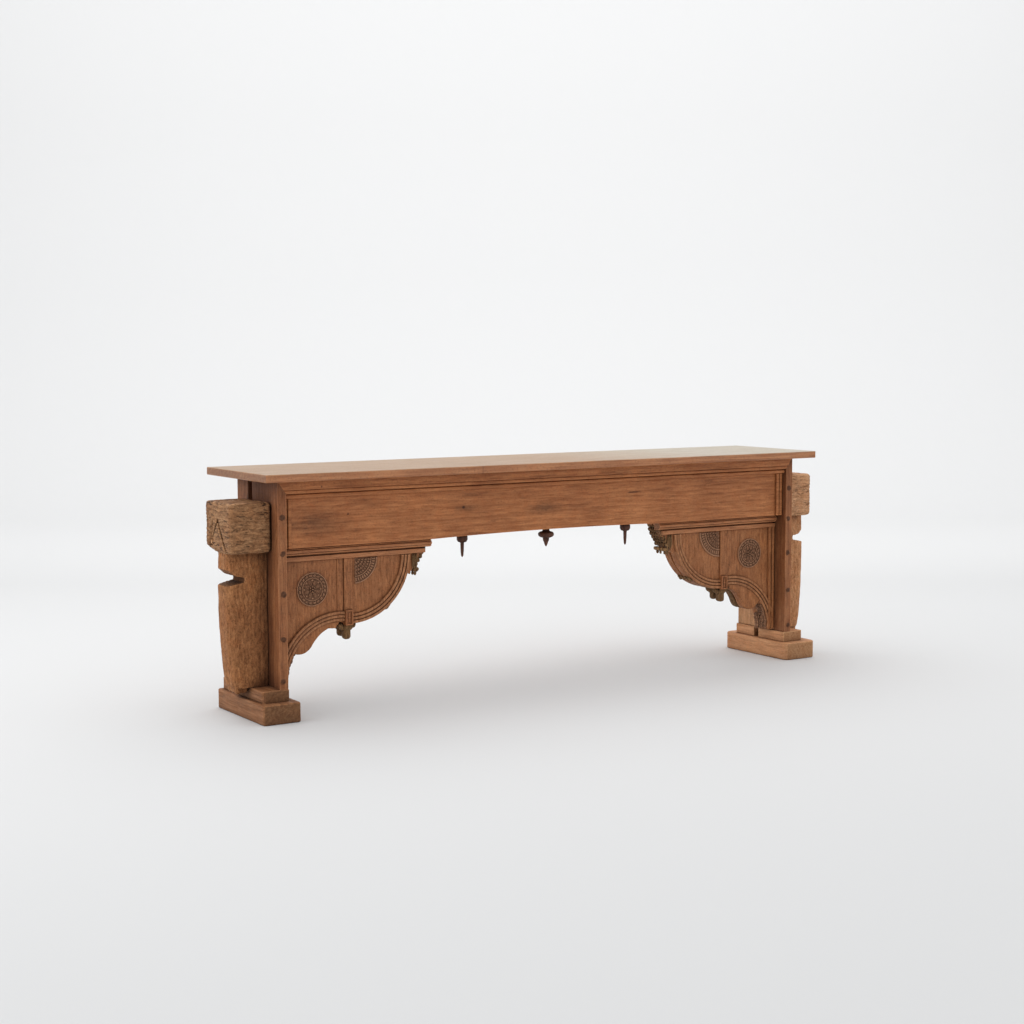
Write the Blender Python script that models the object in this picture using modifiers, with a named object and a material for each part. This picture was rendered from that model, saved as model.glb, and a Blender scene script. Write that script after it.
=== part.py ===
"""A long console table made up from salvaged carved architectural woodwork.

A plank top lies on a carved lintel frame: a front rail, a cambered frieze and two scrolled
spandrel brackets between deep jamb planks, with a weathered corbel on the outer side of each
jamb, rear posts behind, and both ends standing on small base blocks and plinth feet.

All lengths are in metres. X runs along the table, the front faces -Y, Z is up, and the
origin lies on the floor under the middle of the table. The left end is built first and the
right end is its mirror image, apart from the few sizes that are given side by side.
"""
import math

import bmesh
import bpy
from mathutils import Matrix, Vector

# Clearance kept between pieces that touch
FIT = 0.0003

# Overall height and the plank top
HEIGHT = 0.760
TOP_LENGTH = 2.174
TOP_DEPTH = 0.446
TOP_THICK = 0.024

# Ends: jamb planks on base blocks on feet
END_OVERHANG = 0.062
JAMB_THICK = 0.028
JAMB_DEPTH = {"left": 0.189, "right": 0.139}
JAMB_SETBACK = 0.056
JAMB_POST = 0.040
JAMB_REBATE = 0.003
REAR_GAP = {"left": 0.030, "right": 0.024}
REAR_POST_THICK = 0.025
REAR_POST_DEPTH = {"left": 0.082, "right": 0.099}
FOOT_HEIGHT = 0.062
FOOT_WIDTH = {"left": 0.1255, "right": 0.143}
FOOT_INSET = 0.025
FOOT_CORNER = {"left": 0.009, "right": 0.022}
FOOT_FRONT = 0.038
FOOT_DEPTH = 0.347
BASE_HEIGHT = 0.036
BASE_OUT = 0.058
BASE_LEDGE = {"left": 0.0015, "right": 0.006}
BASE_CORNER = 0.016
BASE_LIP = 0.003

# Front rail, small moulding and frieze, set back from the jambs' front face
RAIL_HEIGHT = 0.0405
UPPER_MOULDING_HEIGHT = 0.0155
FRIEZE_HEIGHT = 0.2105
FRIEZE_SETBACK = 0.029
FRIEZE_THICK = 0.075
FRIEZE_CAMBER = 0.0065
REAR_RAIL_HEIGHT = 0.095
REAR_RAIL_THICK = 0.025

# Brackets: a sawn slab with applied carving
BRACKET_SETBACK = 0.067
BRACKET_THICK = 0.068
STILE_AT = 0.2255
STILE_WIDTH = 0.028
ARCH_RADIUS = 0.178
ARCH_DROP = 0.4225
ARCH_PAST_STILE = 0.020
SCROLL_RADIUS = 0.211
SCROLL_DROP = 0.0445
BAND_WIDTH = 0.0325
TIP_LENGTH = 0.0725
MEDALLION_RADIUS = 0.054
MEDALLION_AT = 0.1160
MEDALLION_DROP = 0.1355
ROSETTE_RADIUS = {"left": 0.081, "right": 0.092}
ROSETTE_GAP = {"left": 0.012, "right": 0.003}
FILLET_WIDTH = 0.030

# How high the parts of the applied carving are, and how far they stand out of the slab
MOULDING_HEIGHT = 0.0265
MOULDING_PROUD = 0.020
FLAT_BAND_HEIGHT = 0.0135
FLAT_BAND_PROUD = 0.011
FLAT_BAND_GAP = 0.004
LEAF_STRIP_WIDTH = 0.0235
LEAF_STRIP_HEIGHT = 0.067
BAND_PROUD = 0.008
STILE_PROUD = 0.0065
SIDE_FILLET_PROUD = 0.0105
BLOCK_HEIGHT = 0.0485
BLOCK_PROUD = 0.0135
DROP_LENGTH = 0.032
DROP_PROUD = 0.012
ROUNDEL_PROUD = 0.0055
CUSP_DROP = {"left": 0.078, "right": 0.083}
CUSP_POINT = {"left": 0.0525, "right": 0.092}
CUSP_MIDDLE = {"left": 0.112, "right": 0.145}
CUSP_ROOT = {"left": 0.1725, "right": 0.190}

# Turned drops under the frieze
FINIAL_SPACING = 0.329
FINIAL_SHIFT = -0.0065
FINIAL_LENGTH = {"left": 0.073, "middle": 0.0625, "right": 0.073}
FINIAL_HEAD = {"left": 0.018, "middle": 0.027, "right": 0.019}
FINIAL_SEAT = 0.0125

# Corbels on the outer side of the jambs
CORBEL_REACH = 0.1385
CORBEL_HEAD_DEPTH = 0.190
CORBEL_HEAD_FRONT = 0.047
CORBEL_HEAD_TOP = 0.066
CORBEL_HEAD_HEIGHT = 0.155
CORBEL_HEAD_CORNER = 0.011
CORBEL_BODY_FRONT = {"left": 0.083, "right": 0.075}
CORBEL_BODY_DEPTH = {"left": 0.092, "right": 0.100}
CORBEL_BODY_ROUND = 0.026
CORBEL_FOOT_REACH = {"left": 0.109, "right": 0.112}
CORBEL_NECK_REACH = 0.131
CORBEL_BELLY = 0.0070
CORBEL_HEAD_CHAMFER = 0.022
CORBEL_NOTCH_DEPTH = 0.050
CORBEL_VEE_AT = 0.147
CORBEL_VEE_HEIGHT = 0.107
CORBEL_VEE_DEPTH = 0.017

# Finishes as red, green and blue in shares of display white, and roughness
TOP_FINISH = (0.72, 0.55, 0.38, 0.5)
FRONT_FINISH = (0.60, 0.38, 0.25, 0.55)
JAMB_FINISH = (0.52, 0.34, 0.23, 0.6)
CARVED_FINISH = (0.55, 0.34, 0.22, 0.6)
WEATHERED_FINISH = (0.55, 0.37, 0.25, 0.75)
PLINTH_FINISH = (0.62, 0.42, 0.28, 0.65)
TURNED_FINISH = (0.34, 0.20, 0.14, 0.6)

# How deep an applied piece is let into the one that carries it, how far a joined piece stays
# short of its neighbour's face, and the shortest edge kept
LET_IN = 0.004
SHY = 0.0002
SLIVER = 0.00002

# Places worked out from the sizes above
TOP_UNDER = HEIGHT - TOP_THICK
JAMB_TOP = TOP_UNDER - FIT
JAMB_FRONT = -TOP_DEPTH / 2 + JAMB_SETBACK
JAMB_OUTER = TOP_LENGTH / 2 - END_OVERHANG
JAMB_INNER = JAMB_OUTER - JAMB_THICK
CORBEL_SEAT = JAMB_OUTER - JAMB_REBATE
BASE_TOP = FOOT_HEIGHT + BASE_HEIGHT
RAIL_BOTTOM = JAMB_TOP - RAIL_HEIGHT
FRIEZE_FRONT = JAMB_FRONT + FRIEZE_SETBACK
FRIEZE_BOTTOM = JAMB_TOP - FRIEZE_HEIGHT
FRIEZE_MIDDLE = FRIEZE_FRONT + FRIEZE_THICK / 2
BRACKET_FRONT = JAMB_FRONT + BRACKET_SETBACK
BRACKET_BACK = BRACKET_FRONT + BRACKET_THICK
BRACKET_TOP = FRIEZE_BOTTOM - FIT
STILE_END = STILE_AT + STILE_WIDTH
TIP_REACH = STILE_END + SCROLL_RADIUS + TIP_LENGTH
CAMBER_REACH = JAMB_INNER - TIP_REACH
CORBEL_HEAD_HIGH = JAMB_TOP - CORBEL_HEAD_TOP
CORBEL_HEAD_LOW = CORBEL_HEAD_HIGH - CORBEL_HEAD_HEIGHT

SIDES = ("left", "right")
JAMB_BACK = {side: JAMB_FRONT + JAMB_DEPTH[side] for side in SIDES}
REAR_FRONT = {side: JAMB_BACK[side] + REAR_GAP[side] for side in SIDES}
REAR_BACK = {side: REAR_FRONT[side] + REAR_POST_DEPTH[side] for side in SIDES}


def arc(centre, radius, start, end, steps):
    """Points of a circle's arc, with the angles in degrees."""
    points = []
    for step in range(steps + 1):
        angle = math.radians(start + (end - start) * step / steps)
        points.append((centre[0] + radius * math.cos(angle), centre[1] + radius * math.sin(angle)))
    return points


def bow(start, end, rise, steps):
    """Points of a shallow curve between two points that rises to the left of their line."""
    along = Vector(end) - Vector(start)
    across = Vector((-along.y, along.x)).normalized()
    points = []
    for step in range(steps + 1):
        share = step / steps
        height = 4 * rise * share * (1 - share)
        point = Vector(start) + along * share + across * height
        points.append((point.x, point.y))
    return points


def loose(name, mesh):
    """A working object that holds the mesh."""
    item = bpy.data.objects.new(name, mesh)
    WORKING.objects.link(item)
    return item


def from_bmesh(name, bm):
    """A working object made of the bmesh, with its faces turned outwards."""
    bmesh.ops.remove_doubles(bm, verts=bm.verts, dist=0.00001)
    bmesh.ops.recalc_face_normals(bm, faces=bm.faces)
    mesh = bpy.data.meshes.new(name)
    bm.to_mesh(mesh)
    bm.free()
    return loose(name, mesh)


def box(name, low, high, corner=0.0, corner_steps=3, edge=0.0):
    """A block between two corners, with rounded upright edges and eased long edges."""
    low, high = Vector(low), Vector(high)
    bm = bmesh.new()
    bmesh.ops.create_cube(bm, size=1.0)
    bmesh.ops.scale(bm, verts=bm.verts, vec=high - low)
    bmesh.ops.translate(bm, verts=bm.verts, vec=(high + low) / 2)
    if corner:
        upright = [e for e in bm.edges if abs(e.verts[0].co.z - e.verts[1].co.z) > 1e-6]
        bmesh.ops.bevel(bm, geom=upright, offset=corner, segments=corner_steps,
                        profile=0.5, affect="EDGES")
    if edge:
        level = [e for e in bm.edges if e.calc_face_angle(0.0) > math.radians(60)]
        bmesh.ops.bevel(bm, geom=level, offset=edge, segments=1, profile=0.5, affect="EDGES")
    return from_bmesh(name, bm)


def sawn(name, outline, low, high, axis="Y"):
    """A flat outline given thickness: XZ points along Y, or YZ points along X."""
    curve = bpy.data.curves.new(name, "CURVE")
    curve.dimensions = "2D"
    curve.fill_mode = "BOTH"
    curve.extrude = (high - low) / 2
    spline = curve.splines.new("POLY")
    spline.points.add(len(outline) - 1)
    for point, (across, up) in zip(spline.points, outline):
        point.co = (across, up, 0.0, 1.0)
    spline.use_cyclic_u = True
    item = bpy.data.objects.new(name, curve)
    WORKING.objects.link(item)
    if axis == "Y":
        item.location.y = (low + high) / 2
        item.rotation_euler = (math.radians(90), 0.0, 0.0)
    else:
        item.location.x = (low + high) / 2
        item.rotation_euler = (math.radians(90), 0.0, math.radians(90))
    bpy.context.view_layer.update()
    mesh = bpy.data.meshes.new_from_object(item.evaluated_get(bpy.context.evaluated_depsgraph_get()))
    mesh.transform(item.matrix_world)
    bpy.data.objects.remove(item)
    bm = bmesh.new()
    bm.from_mesh(mesh)
    return from_bmesh(name, bm)


def turned_moulding(name, profile, centre, start, end, steps):
    """A moulding that follows an arc in the XZ plane, its profile given as radius and depth."""
    bm = bmesh.new()
    first = math.radians(start)
    ring = []
    for radius, depth in profile:
        ring.append(bm.verts.new((centre[0] + radius * math.cos(first), depth,
                                  centre[1] + radius * math.sin(first))))
    face = bm.faces.new(ring)
    whole = abs(end - start) >= 360
    if whole:
        bmesh.ops.delete(bm, geom=[face], context="FACES_ONLY")
        swept = list(bm.verts) + list(bm.edges)
    else:
        swept = list(bm.verts) + list(bm.edges) + [face]
    bmesh.ops.spin(bm, geom=swept, cent=(centre[0], 0.0, centre[1]), axis=(0.0, -1.0, 0.0),
                   angle=math.radians(end - start), steps=steps, use_merge=whole)
    return from_bmesh(name, bm)


def lump(name, centre, size, around=8, rings=5):
    """A rounded lump of carving, with its three half sizes."""
    bm = bmesh.new()
    bmesh.ops.create_uvsphere(bm, u_segments=around, v_segments=rings, radius=1.0)
    bmesh.ops.scale(bm, verts=bm.verts, vec=size)
    bmesh.ops.translate(bm, verts=bm.verts, vec=centre)
    return from_bmesh(name, bm)


def joined(base, tools, operation, solver):
    """The base with every tool added or cut away, as one mesh; the tools are used up."""
    for number, tool in enumerate(tools):
        step = base.modifiers.new(f"{operation.lower()}_{number}", "BOOLEAN")
        step.operation = operation
        step.object = tool
        step.solver = solver
    bpy.context.view_layer.update()
    mesh = bpy.data.meshes.new_from_object(base.evaluated_get(bpy.context.evaluated_depsgraph_get()))
    base.modifiers.clear()
    base.data = mesh
    for tool in tools:
        bpy.data.objects.remove(tool)
    return base


def without_slivers(mesh):
    """Merges the hair-thin edges that joined pieces leave where they cross."""
    bm = bmesh.new()
    bm.from_mesh(mesh)
    bmesh.ops.triangulate(bm, faces=bm.faces)
    bmesh.ops.remove_doubles(bm, verts=bm.verts, dist=SLIVER)
    bmesh.ops.dissolve_degenerate(bm, dist=SLIVER, edges=bm.edges)
    bmesh.ops.triangulate(bm, faces=bm.faces)
    bm.to_mesh(mesh)
    bm.free()


def fuse(base, *tools):
    return joined(base, tools, "UNION", "EXACT")


def carve(base, *tools):
    return joined(base, tools, "DIFFERENCE", "EXACT")


def apply_carving(base, *tools):
    """Adds many pieces to one flat face, which the exact solver leaves open in places."""
    return joined(base, tools, "UNION", "MANIFOLD")


def wood(name, red, green, blue, roughness):
    """A wood finish for one piece."""
    material = bpy.data.materials.new(name)
    material.use_nodes = True
    shader = material.node_tree.nodes["Principled BSDF"]
    shader.inputs["Base Color"].default_value = (red ** 2.2, green ** 2.2, blue ** 2.2, 1.0)
    shader.inputs["Roughness"].default_value = roughness
    shader.inputs["Metallic"].default_value = 0.0
    return material


def finish(item, name, look, side="left", smooth=False):
    """Names a piece, mirrors it for the right end, and hangs it on the table's empty."""
    if side == "right":
        item.data.transform(Matrix.Scale(-1.0, 4, (1.0, 0.0, 0.0)))
        item.data.flip_normals()
    WORKING.objects.unlink(item)
    TABLE.objects.link(item)
    item.name = name
    item.data.name = name
    item.data.materials.clear()
    item.data.materials.append(wood(name, *look))
    item.parent = ROOT
    if smooth:
        item.data.shade_smooth()
        item.data.set_sharp_from_angle(angle=math.radians(35))
    return item


def make_top():
    top = box("top", (-TOP_LENGTH / 2, -TOP_DEPTH / 2, TOP_UNDER),
              (TOP_LENGTH / 2, TOP_DEPTH / 2, HEIGHT), edge=0.0018)
    finish(top, "table_top", TOP_FINISH)


def make_foot(side):
    """A thick plinth block with worn corners, flat on the floor."""
    inner = JAMB_INNER - FOOT_INSET
    outer = inner + FOOT_WIDTH[side]
    front = JAMB_FRONT - FOOT_FRONT
    foot = box("foot", (-outer, front, 0.0), (-inner, front + FOOT_DEPTH, FOOT_HEIGHT - FIT),
               corner=FOOT_CORNER[side], edge=0.003)
    finish(foot, f"foot_{side}", PLINTH_FINISH, side)


def make_base_blocks(side):
    """The small blocks that the jamb and the rear post stand on, with the same gap between."""
    inner = JAMB_INNER - BASE_LEDGE[side]
    outer = JAMB_OUTER + BASE_OUT
    spans = {"front": (JAMB_FRONT - BASE_LIP, JAMB_BACK[side]),
             "rear": (REAR_FRONT[side], REAR_BACK[side] + BASE_LIP)}
    for place, (front, back) in spans.items():
        block = box("block", (-outer, front, FOOT_HEIGHT), (-inner, back, BASE_TOP - FIT), edge=0.0015)
        rounding = box("rounding", (-outer - 0.1, front - 0.1, FOOT_HEIGHT - 0.1),
                       (-outer + BASE_CORNER, back + 0.1, BASE_TOP + 0.1))
        keep = box("keep", (-outer - 0.0005, front - 0.0005, FOOT_HEIGHT - 0.05),
                   (-inner, back + 0.0005, BASE_TOP + 0.05), corner=BASE_CORNER, corner_steps=4)
        carve(block, carve(rounding, keep))
        finish(block, f"base_block_{place}_{side}", PLINTH_FINISH, side)


def make_jamb(side):
    """A deep plank on edge, with a front strip that stands proud and is mitred to the rail."""
    outline = [(-JAMB_OUTER, BASE_TOP), (-JAMB_INNER, BASE_TOP), (-JAMB_INNER, RAIL_BOTTOM - FIT),
               (-JAMB_OUTER, JAMB_TOP)]
    strip = sawn("strip", outline, JAMB_FRONT, JAMB_FRONT + JAMB_POST)
    plank = box("plank", (-CORBEL_SEAT, JAMB_FRONT + JAMB_POST - LET_IN, BASE_TOP + SHY),
                (-JAMB_INNER - SHY, JAMB_BACK[side], JAMB_TOP - SHY))
    mitre = [(-JAMB_OUTER, JAMB_TOP + SHY), (-JAMB_INNER, RAIL_BOTTOM - FIT + SHY),
             (-JAMB_INNER + LET_IN, RAIL_BOTTOM - FIT + SHY), (-JAMB_INNER + LET_IN, HEIGHT),
             (-JAMB_OUTER, HEIGHT)]
    clearance = sawn("clearance", mitre, JAMB_FRONT, JAMB_FRONT + JAMB_POST + FIT)
    carve(plank, clearance)
    fuse(strip, plank)
    finish(strip, f"jamb_{side}", JAMB_FINISH, side)


def make_rear_post(side):
    post = box("post", (-CORBEL_SEAT, REAR_FRONT[side], BASE_TOP),
               (-CORBEL_SEAT + REAR_POST_THICK, REAR_BACK[side], JAMB_TOP), edge=0.0015)
    finish(post, f"rear_post_{side}", JAMB_FINISH, side)


def make_rear_rail():
    """A plain board between the rear posts, out of sight behind the frieze."""
    reach = CORBEL_SEAT - REAR_POST_THICK - FIT
    middle = (max(REAR_FRONT.values()) + min(REAR_BACK.values())) / 2
    rail = box("rail", (-reach, middle - REAR_RAIL_THICK / 2, JAMB_TOP - REAR_RAIL_HEIGHT),
               (reach, middle + REAR_RAIL_THICK / 2, JAMB_TOP), edge=0.0015)
    finish(rail, "rear_rail", JAMB_FINISH)


def make_front_rail():
    """The rail under the front of the top, mitred into both jambs."""
    outline = [(-JAMB_OUTER + FIT, JAMB_TOP), (-JAMB_INNER + FIT, RAIL_BOTTOM),
               (JAMB_INNER - FIT, RAIL_BOTTOM), (JAMB_OUTER - FIT, JAMB_TOP)]
    rail = sawn("rail", outline, JAMB_FRONT, FRIEZE_FRONT - FIT)
    finish(rail, "front_rail", FRONT_FINISH)


def make_upper_moulding():
    """A small rounded moulding that leads from the front rail back to the frieze."""
    back = FRIEZE_FRONT - FIT
    top = RAIL_BOTTOM - FIT
    low = top - UPPER_MOULDING_HEIGHT
    crest = JAMB_FRONT + FRIEZE_SETBACK * 0.31
    profile = [(back, low), (crest + 0.010, low), (crest + 0.0085, low + 0.0025),
               (crest + 0.0035, low + 0.0035), (crest + 0.0008, low + 0.0055), (crest, low + 0.0080),
               (crest + 0.0008, low + 0.0105), (crest + 0.0035, low + 0.0125),
               (crest + 0.006, low + 0.0130), (crest + 0.006, top), (back, top)]
    moulding = sawn("moulding", profile, -JAMB_INNER + FIT, JAMB_INNER - FIT, axis="X")
    finish(moulding, "upper_moulding", FRONT_FINISH)


def make_frieze():
    """The wide board over the arch: cambered below, with a double fillet at each end."""
    reach = JAMB_INNER - FIT
    outline = [(-reach, JAMB_TOP), (-reach, FRIEZE_BOTTOM)]
    outline += bow((-CAMBER_REACH, FRIEZE_BOTTOM), (CAMBER_REACH, FRIEZE_BOTTOM), FRIEZE_CAMBER, 16)
    outline += [(reach, FRIEZE_BOTTOM), (reach, JAMB_TOP)]
    frieze = sawn("frieze", outline, FRIEZE_FRONT, FRIEZE_FRONT + FRIEZE_THICK)
    fillet_top = RAIL_BOTTOM - FIT - UPPER_MOULDING_HEIGHT - FIT
    fillets = []
    for direction in (-1, 1):
        for number in range(2):
            near = direction * (reach - 0.0005 - number * FILLET_WIDTH / 2)
            far = near - direction * (FILLET_WIDTH / 2 - 0.003)
            fillets.append(box("fillet", (min(near, far), FRIEZE_FRONT - 0.010, FRIEZE_BOTTOM + 0.0005),
                               (max(near, far), FRIEZE_FRONT + LET_IN, fillet_top), edge=0.002))
    fuse(frieze, *fillets)
    finish(frieze, "frieze", FRONT_FINISH)


def bracket_outline():
    """Half of the arch as the bracket is sawn, in distance from the jamb and height."""
    scroll = (STILE_END, BRACKET_TOP - SCROLL_DROP)
    arch = (STILE_AT - ARCH_PAST_STILE, BRACKET_TOP - ARCH_DROP)
    foot = max(arch[1], BASE_TOP)
    leaf_steps = ((0.08, 0.0), (0.08, 0.0105), (0.23, 0.0205), (0.26, 0.0365), (0.345, 0.0530),
                  (0.55, 0.0590), (0.55, 0.0680), (0.635, 0.0860), (0.635, 0.1040), (0.76, 0.1200),
                  (0.925, 0.1110), (1.014, 0.1120))
    points = [(0.0, BRACKET_TOP)]
    points += [(TIP_REACH - back * TIP_LENGTH, BRACKET_TOP - down) for back, down in leaf_steps]
    points += arc(scroll, SCROLL_RADIUS, -17, -90, 14)
    rise = math.degrees(math.asin((foot - arch[1]) / ARCH_RADIUS))
    points += arc(arch, ARCH_RADIUS, 90, 180 - rise, 14)
    points += [(0.0, foot)]
    return points


def bands(inner, front):
    """Three fillets with grooves between, as radius and depth, for an arched moulding."""
    band = BAND_WIDTH / 3
    back = BRACKET_FRONT + LET_IN
    profile = [(inner, back)]
    for number, proud in enumerate((0.0, 0.0008, 0.002)):
        left = inner + number * band
        right = left + band
        profile += [(left + 0.0003, front + proud + 0.0015), (left + 0.0022, front + proud),
                    (right - 0.0022, front + proud), (right - 0.0006, front + proud + 0.0045)]
    profile += [(inner + BAND_WIDTH, back)]
    return profile


def flower(centre, radius, front, petals, start, end):
    """Rings, petals and a boss of a carved roundel, or of the part between two angles."""
    back = BRACKET_FRONT + LET_IN
    pieces = []
    for outer, width in ((1.0, 0.12), (0.70, 0.10)):
        edge = radius * outer
        hollow = edge - radius * width
        profile = [(hollow, back), (hollow + 0.001, front), (edge - 0.001, front), (edge, back)]
        steps = max(6, round(24 * (end - start) / 360))
        pieces.append(turned_moulding("ring", profile, centre, start, end, steps))
    for number in range(petals):
        angle = math.radians(start + (end - start) * (number + 0.5) / petals)
        petal = lump("petal", (0.0, 0.0, 0.0), (radius * 0.19, 0.0085, radius * 0.095), 6, 4)
        petal.data.transform(Matrix.Translation((radius * 0.36, 0.0, 0.0)))
        petal.data.transform(Matrix.Rotation(-angle, 4, "Y"))
        petal.data.transform(Matrix.Translation((centre[0], BRACKET_FRONT - 0.0007, centre[1])))
        pieces.append(petal)
    if end - start >= 360:
        pieces.append(lump("boss", (centre[0], BRACKET_FRONT - 0.0009, centre[1]),
                           (radius * 0.16, 0.0095, radius * 0.16), 8, 4))
    return pieces


def head_mouldings(start, tip, top):
    """Moulding, flat band and leaf strip at the top of a bracket, and the height they end at."""
    bite = BRACKET_FRONT + LET_IN
    crest = BRACKET_FRONT - MOULDING_PROUD
    profile = [(bite, top), (crest + 0.006, top), (crest + 0.0015, top - 0.003), (crest, top - 0.0085),
               (crest + 0.0015, top - MOULDING_HEIGHT + 0.0085),
               (crest + 0.008, top - MOULDING_HEIGHT + 0.002),
               (crest + 0.013, top - MOULDING_HEIGHT), (bite, top - MOULDING_HEIGHT)]
    moulding = sawn("moulding", profile, start + 0.0006, tip, axis="X")
    nosing = sawn("nosing", [(tip - 0.0005, top + 0.01), (tip + 0.02, top + 0.01),
                             (tip + 0.02, top - 0.05), (tip - 0.012, top - 0.05),
                             (tip - 0.012, top - 0.020), (tip - 0.0005, top - 0.012)],
                  crest - 0.01, BRACKET_FRONT - 0.0001)
    carve(moulding, nosing)
    band_top = top - MOULDING_HEIGHT - FLAT_BAND_GAP
    band_low = band_top - FLAT_BAND_HEIGHT
    flat_band = box("flat_band", (start + 0.0008, BRACKET_FRONT - FLAT_BAND_PROUD, band_low),
                    (tip - TIP_LENGTH * 0.27, bite, band_top), edge=0.0012)
    strip_right = tip - TIP_LENGTH * 0.6
    leaf_strip = box("leaf_strip", (strip_right - LEAF_STRIP_WIDTH, BRACKET_FRONT - 0.005,
                                    band_low - 0.0025 - LEAF_STRIP_HEIGHT),
                     (strip_right, bite, band_low - 0.0025), edge=0.002)
    return [leaf_strip, flat_band, moulding], band_top


def upright_fillets(start, foot, crossing, band_top):
    """Two fillets beside the jamb, and the stile with the low fillet on its inner side."""
    bite = BRACKET_FRONT + LET_IN
    high = band_top - FLAT_BAND_HEIGHT * 0.75
    fillets = []
    for number in range(2):
        left = start + 0.0012 + number * FILLET_WIDTH / 2
        fillets.append(box("fillet", (left, BRACKET_FRONT - SIDE_FILLET_PROUD, foot + 0.001),
                           (left + FILLET_WIDTH / 2 - 0.003, bite, high), edge=0.002))
    stile = box("stile", (start + STILE_AT, BRACKET_FRONT - STILE_PROUD, crossing + 0.040),
                (start + STILE_END, bite, high), edge=0.0012)
    low_fillet = box("low_fillet", (start + STILE_AT - 0.0225, BRACKET_FRONT - 0.0025, crossing + 0.042),
                     (start + STILE_AT - 0.0012, bite, high - 0.0005), edge=0.0008)
    return fillets, [low_fillet, stile]


def drop_and_curls(start, crossing):
    """The drop under the block where the bands cross, and the leaf curls round it."""
    drop = box("drop", (start + STILE_AT - 0.0005, BRACKET_FRONT - DROP_PROUD, crossing - DROP_LENGTH),
               (start + STILE_END + 0.004, BRACKET_BACK - 0.004, crossing + 0.012), edge=0.005)
    curls = []
    for depth in (0.14, 0.80):
        y = BRACKET_FRONT + BRACKET_THICK * depth
        for across, down, length in ((STILE_END - 0.006, 0.029, 0.012), (STILE_AT + 0.003, 0.027, 0.010),
                                     (STILE_AT - 0.017, 0.014, 0.014)):
            curls.append(lump("curl", (start + across, y, crossing - down), (length, 0.0122, 0.0122)))
    return [drop] + curls


def make_cusp(side, start, crossing, arch):
    """The leaf cusp that hangs under the arch, its point towards the jamb."""
    low = crossing - CUSP_DROP[side]
    root, middle, point = (start + at for at in (CUSP_ROOT[side], CUSP_MIDDLE[side], CUSP_POINT[side]))
    outwards = (Vector((point, low)) - Vector(arch)).normalized()
    buried = Vector(arch) + outwards * (ARCH_RADIUS + 0.010)
    outline = [(start + 0.215, crossing + 0.018), (start + 0.196, crossing - 0.010)]
    outline += bow((root, crossing - 0.008), (middle, low + 0.016), -0.0065, 6)
    outline += bow((middle, low + 0.016), (point, low), 0.0105, 7)[1:]
    outline += [(buried.x, buried.y), (start + 0.090, crossing + 0.001), (start + 0.150, crossing + 0.020)]
    return sawn("cusp", outline, BRACKET_FRONT - 0.0035, BRACKET_BACK - 0.002)


def tip_leaves(tip, scroll):
    """Rolled leaves at the tip, and the small scroll on the outer curve."""
    turn = math.radians(-51)
    knob = (scroll[0] + SCROLL_RADIUS * math.cos(turn), scroll[1] + SCROLL_RADIUS * math.sin(turn))
    leaves = []
    for depth in (0.12, 0.79):
        y = BRACKET_FRONT + BRACKET_THICK * depth
        for back, down, radius in ((0.65, 0.080, 0.0085), (0.676, 0.099, 0.0095), (0.80, 0.115, 0.0085)):
            leaves.append(lump("leaf", (tip - back * TIP_LENGTH, y, BRACKET_TOP - down),
                               (radius, 0.0125, radius * 1.1), 6, 4))
        leaves.append(lump("knob", (knob[0], y, knob[1]), (0.0085, 0.0105, 0.0085), 6, 4))
    return leaves


def make_bracket(side):
    """A spandrel bracket: sawn slab, arched bands, stile, drop, leaves and roundels."""
    start = -JAMB_INNER + FIT
    outline = [(start + across, up) for across, up in bracket_outline()]
    slab = sawn("slab", outline, BRACKET_FRONT, BRACKET_BACK)
    scroll = (start + STILE_END, BRACKET_TOP - SCROLL_DROP)
    arch = (start + STILE_AT - ARCH_PAST_STILE, BRACKET_TOP - ARCH_DROP)
    crossing = scroll[1] - SCROLL_RADIUS
    tip = start + TIP_REACH
    foot = max(arch[1], BASE_TOP)
    heads, band_top = head_mouldings(start, tip, BRACKET_TOP - 0.0006)
    fillets, stiles = upright_fillets(start, foot, crossing, band_top)

    # Arched bands of the scroll and of the arch, which stop short of the jamb
    outer = turned_moulding("scroll_bands", bands(SCROLL_RADIUS - 0.0015 - BAND_WIDTH,
                                                  BRACKET_FRONT - BAND_PROUD), scroll, -90, -1, 14)
    span = (STILE_AT - ARCH_PAST_STILE - 0.004) / (ARCH_RADIUS + BAND_WIDTH + 0.0015)
    trim = math.degrees(math.acos(min(1.0, span)))
    inner = turned_moulding("arch_bands", bands(ARCH_RADIUS + 0.0015, BRACKET_FRONT - BAND_PROUD - SHY),
                            arch, 84, 180 - trim, 12)
    block = box("block", (start + STILE_AT + 0.0008, BRACKET_FRONT - BLOCK_PROUD, crossing - 0.002),
                (start + STILE_END - 0.0008, BRACKET_FRONT + 0.020, crossing + BLOCK_HEIGHT - 0.002),
                edge=0.003)

    medallion = (start + MEDALLION_AT, BRACKET_TOP - MEDALLION_DROP)
    roundel = flower(medallion, MEDALLION_RADIUS, BRACKET_FRONT - ROUNDEL_PROUD, 8, 0, 360)
    corner = (start + STILE_END + ROSETTE_GAP[side], band_top - FLAT_BAND_HEIGHT - 0.004)
    quarter = flower(corner, ROSETTE_RADIUS[side], BRACKET_FRONT - ROUNDEL_PROUD, 4, -90, 0)

    lower = drop_and_curls(start, crossing) + tip_leaves(tip, scroll)
    apply_carving(slab, make_cusp(side, start, crossing, arch), *lower)
    apply_carving(slab, outer, inner, *stiles, block)
    apply_carving(slab, *fillets, *heads)
    apply_carving(slab, *roundel)
    apply_carving(slab, *quarter)
    without_slivers(slab.data)
    finish(slab, f"bracket_{side}", CARVED_FINISH, side)


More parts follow.
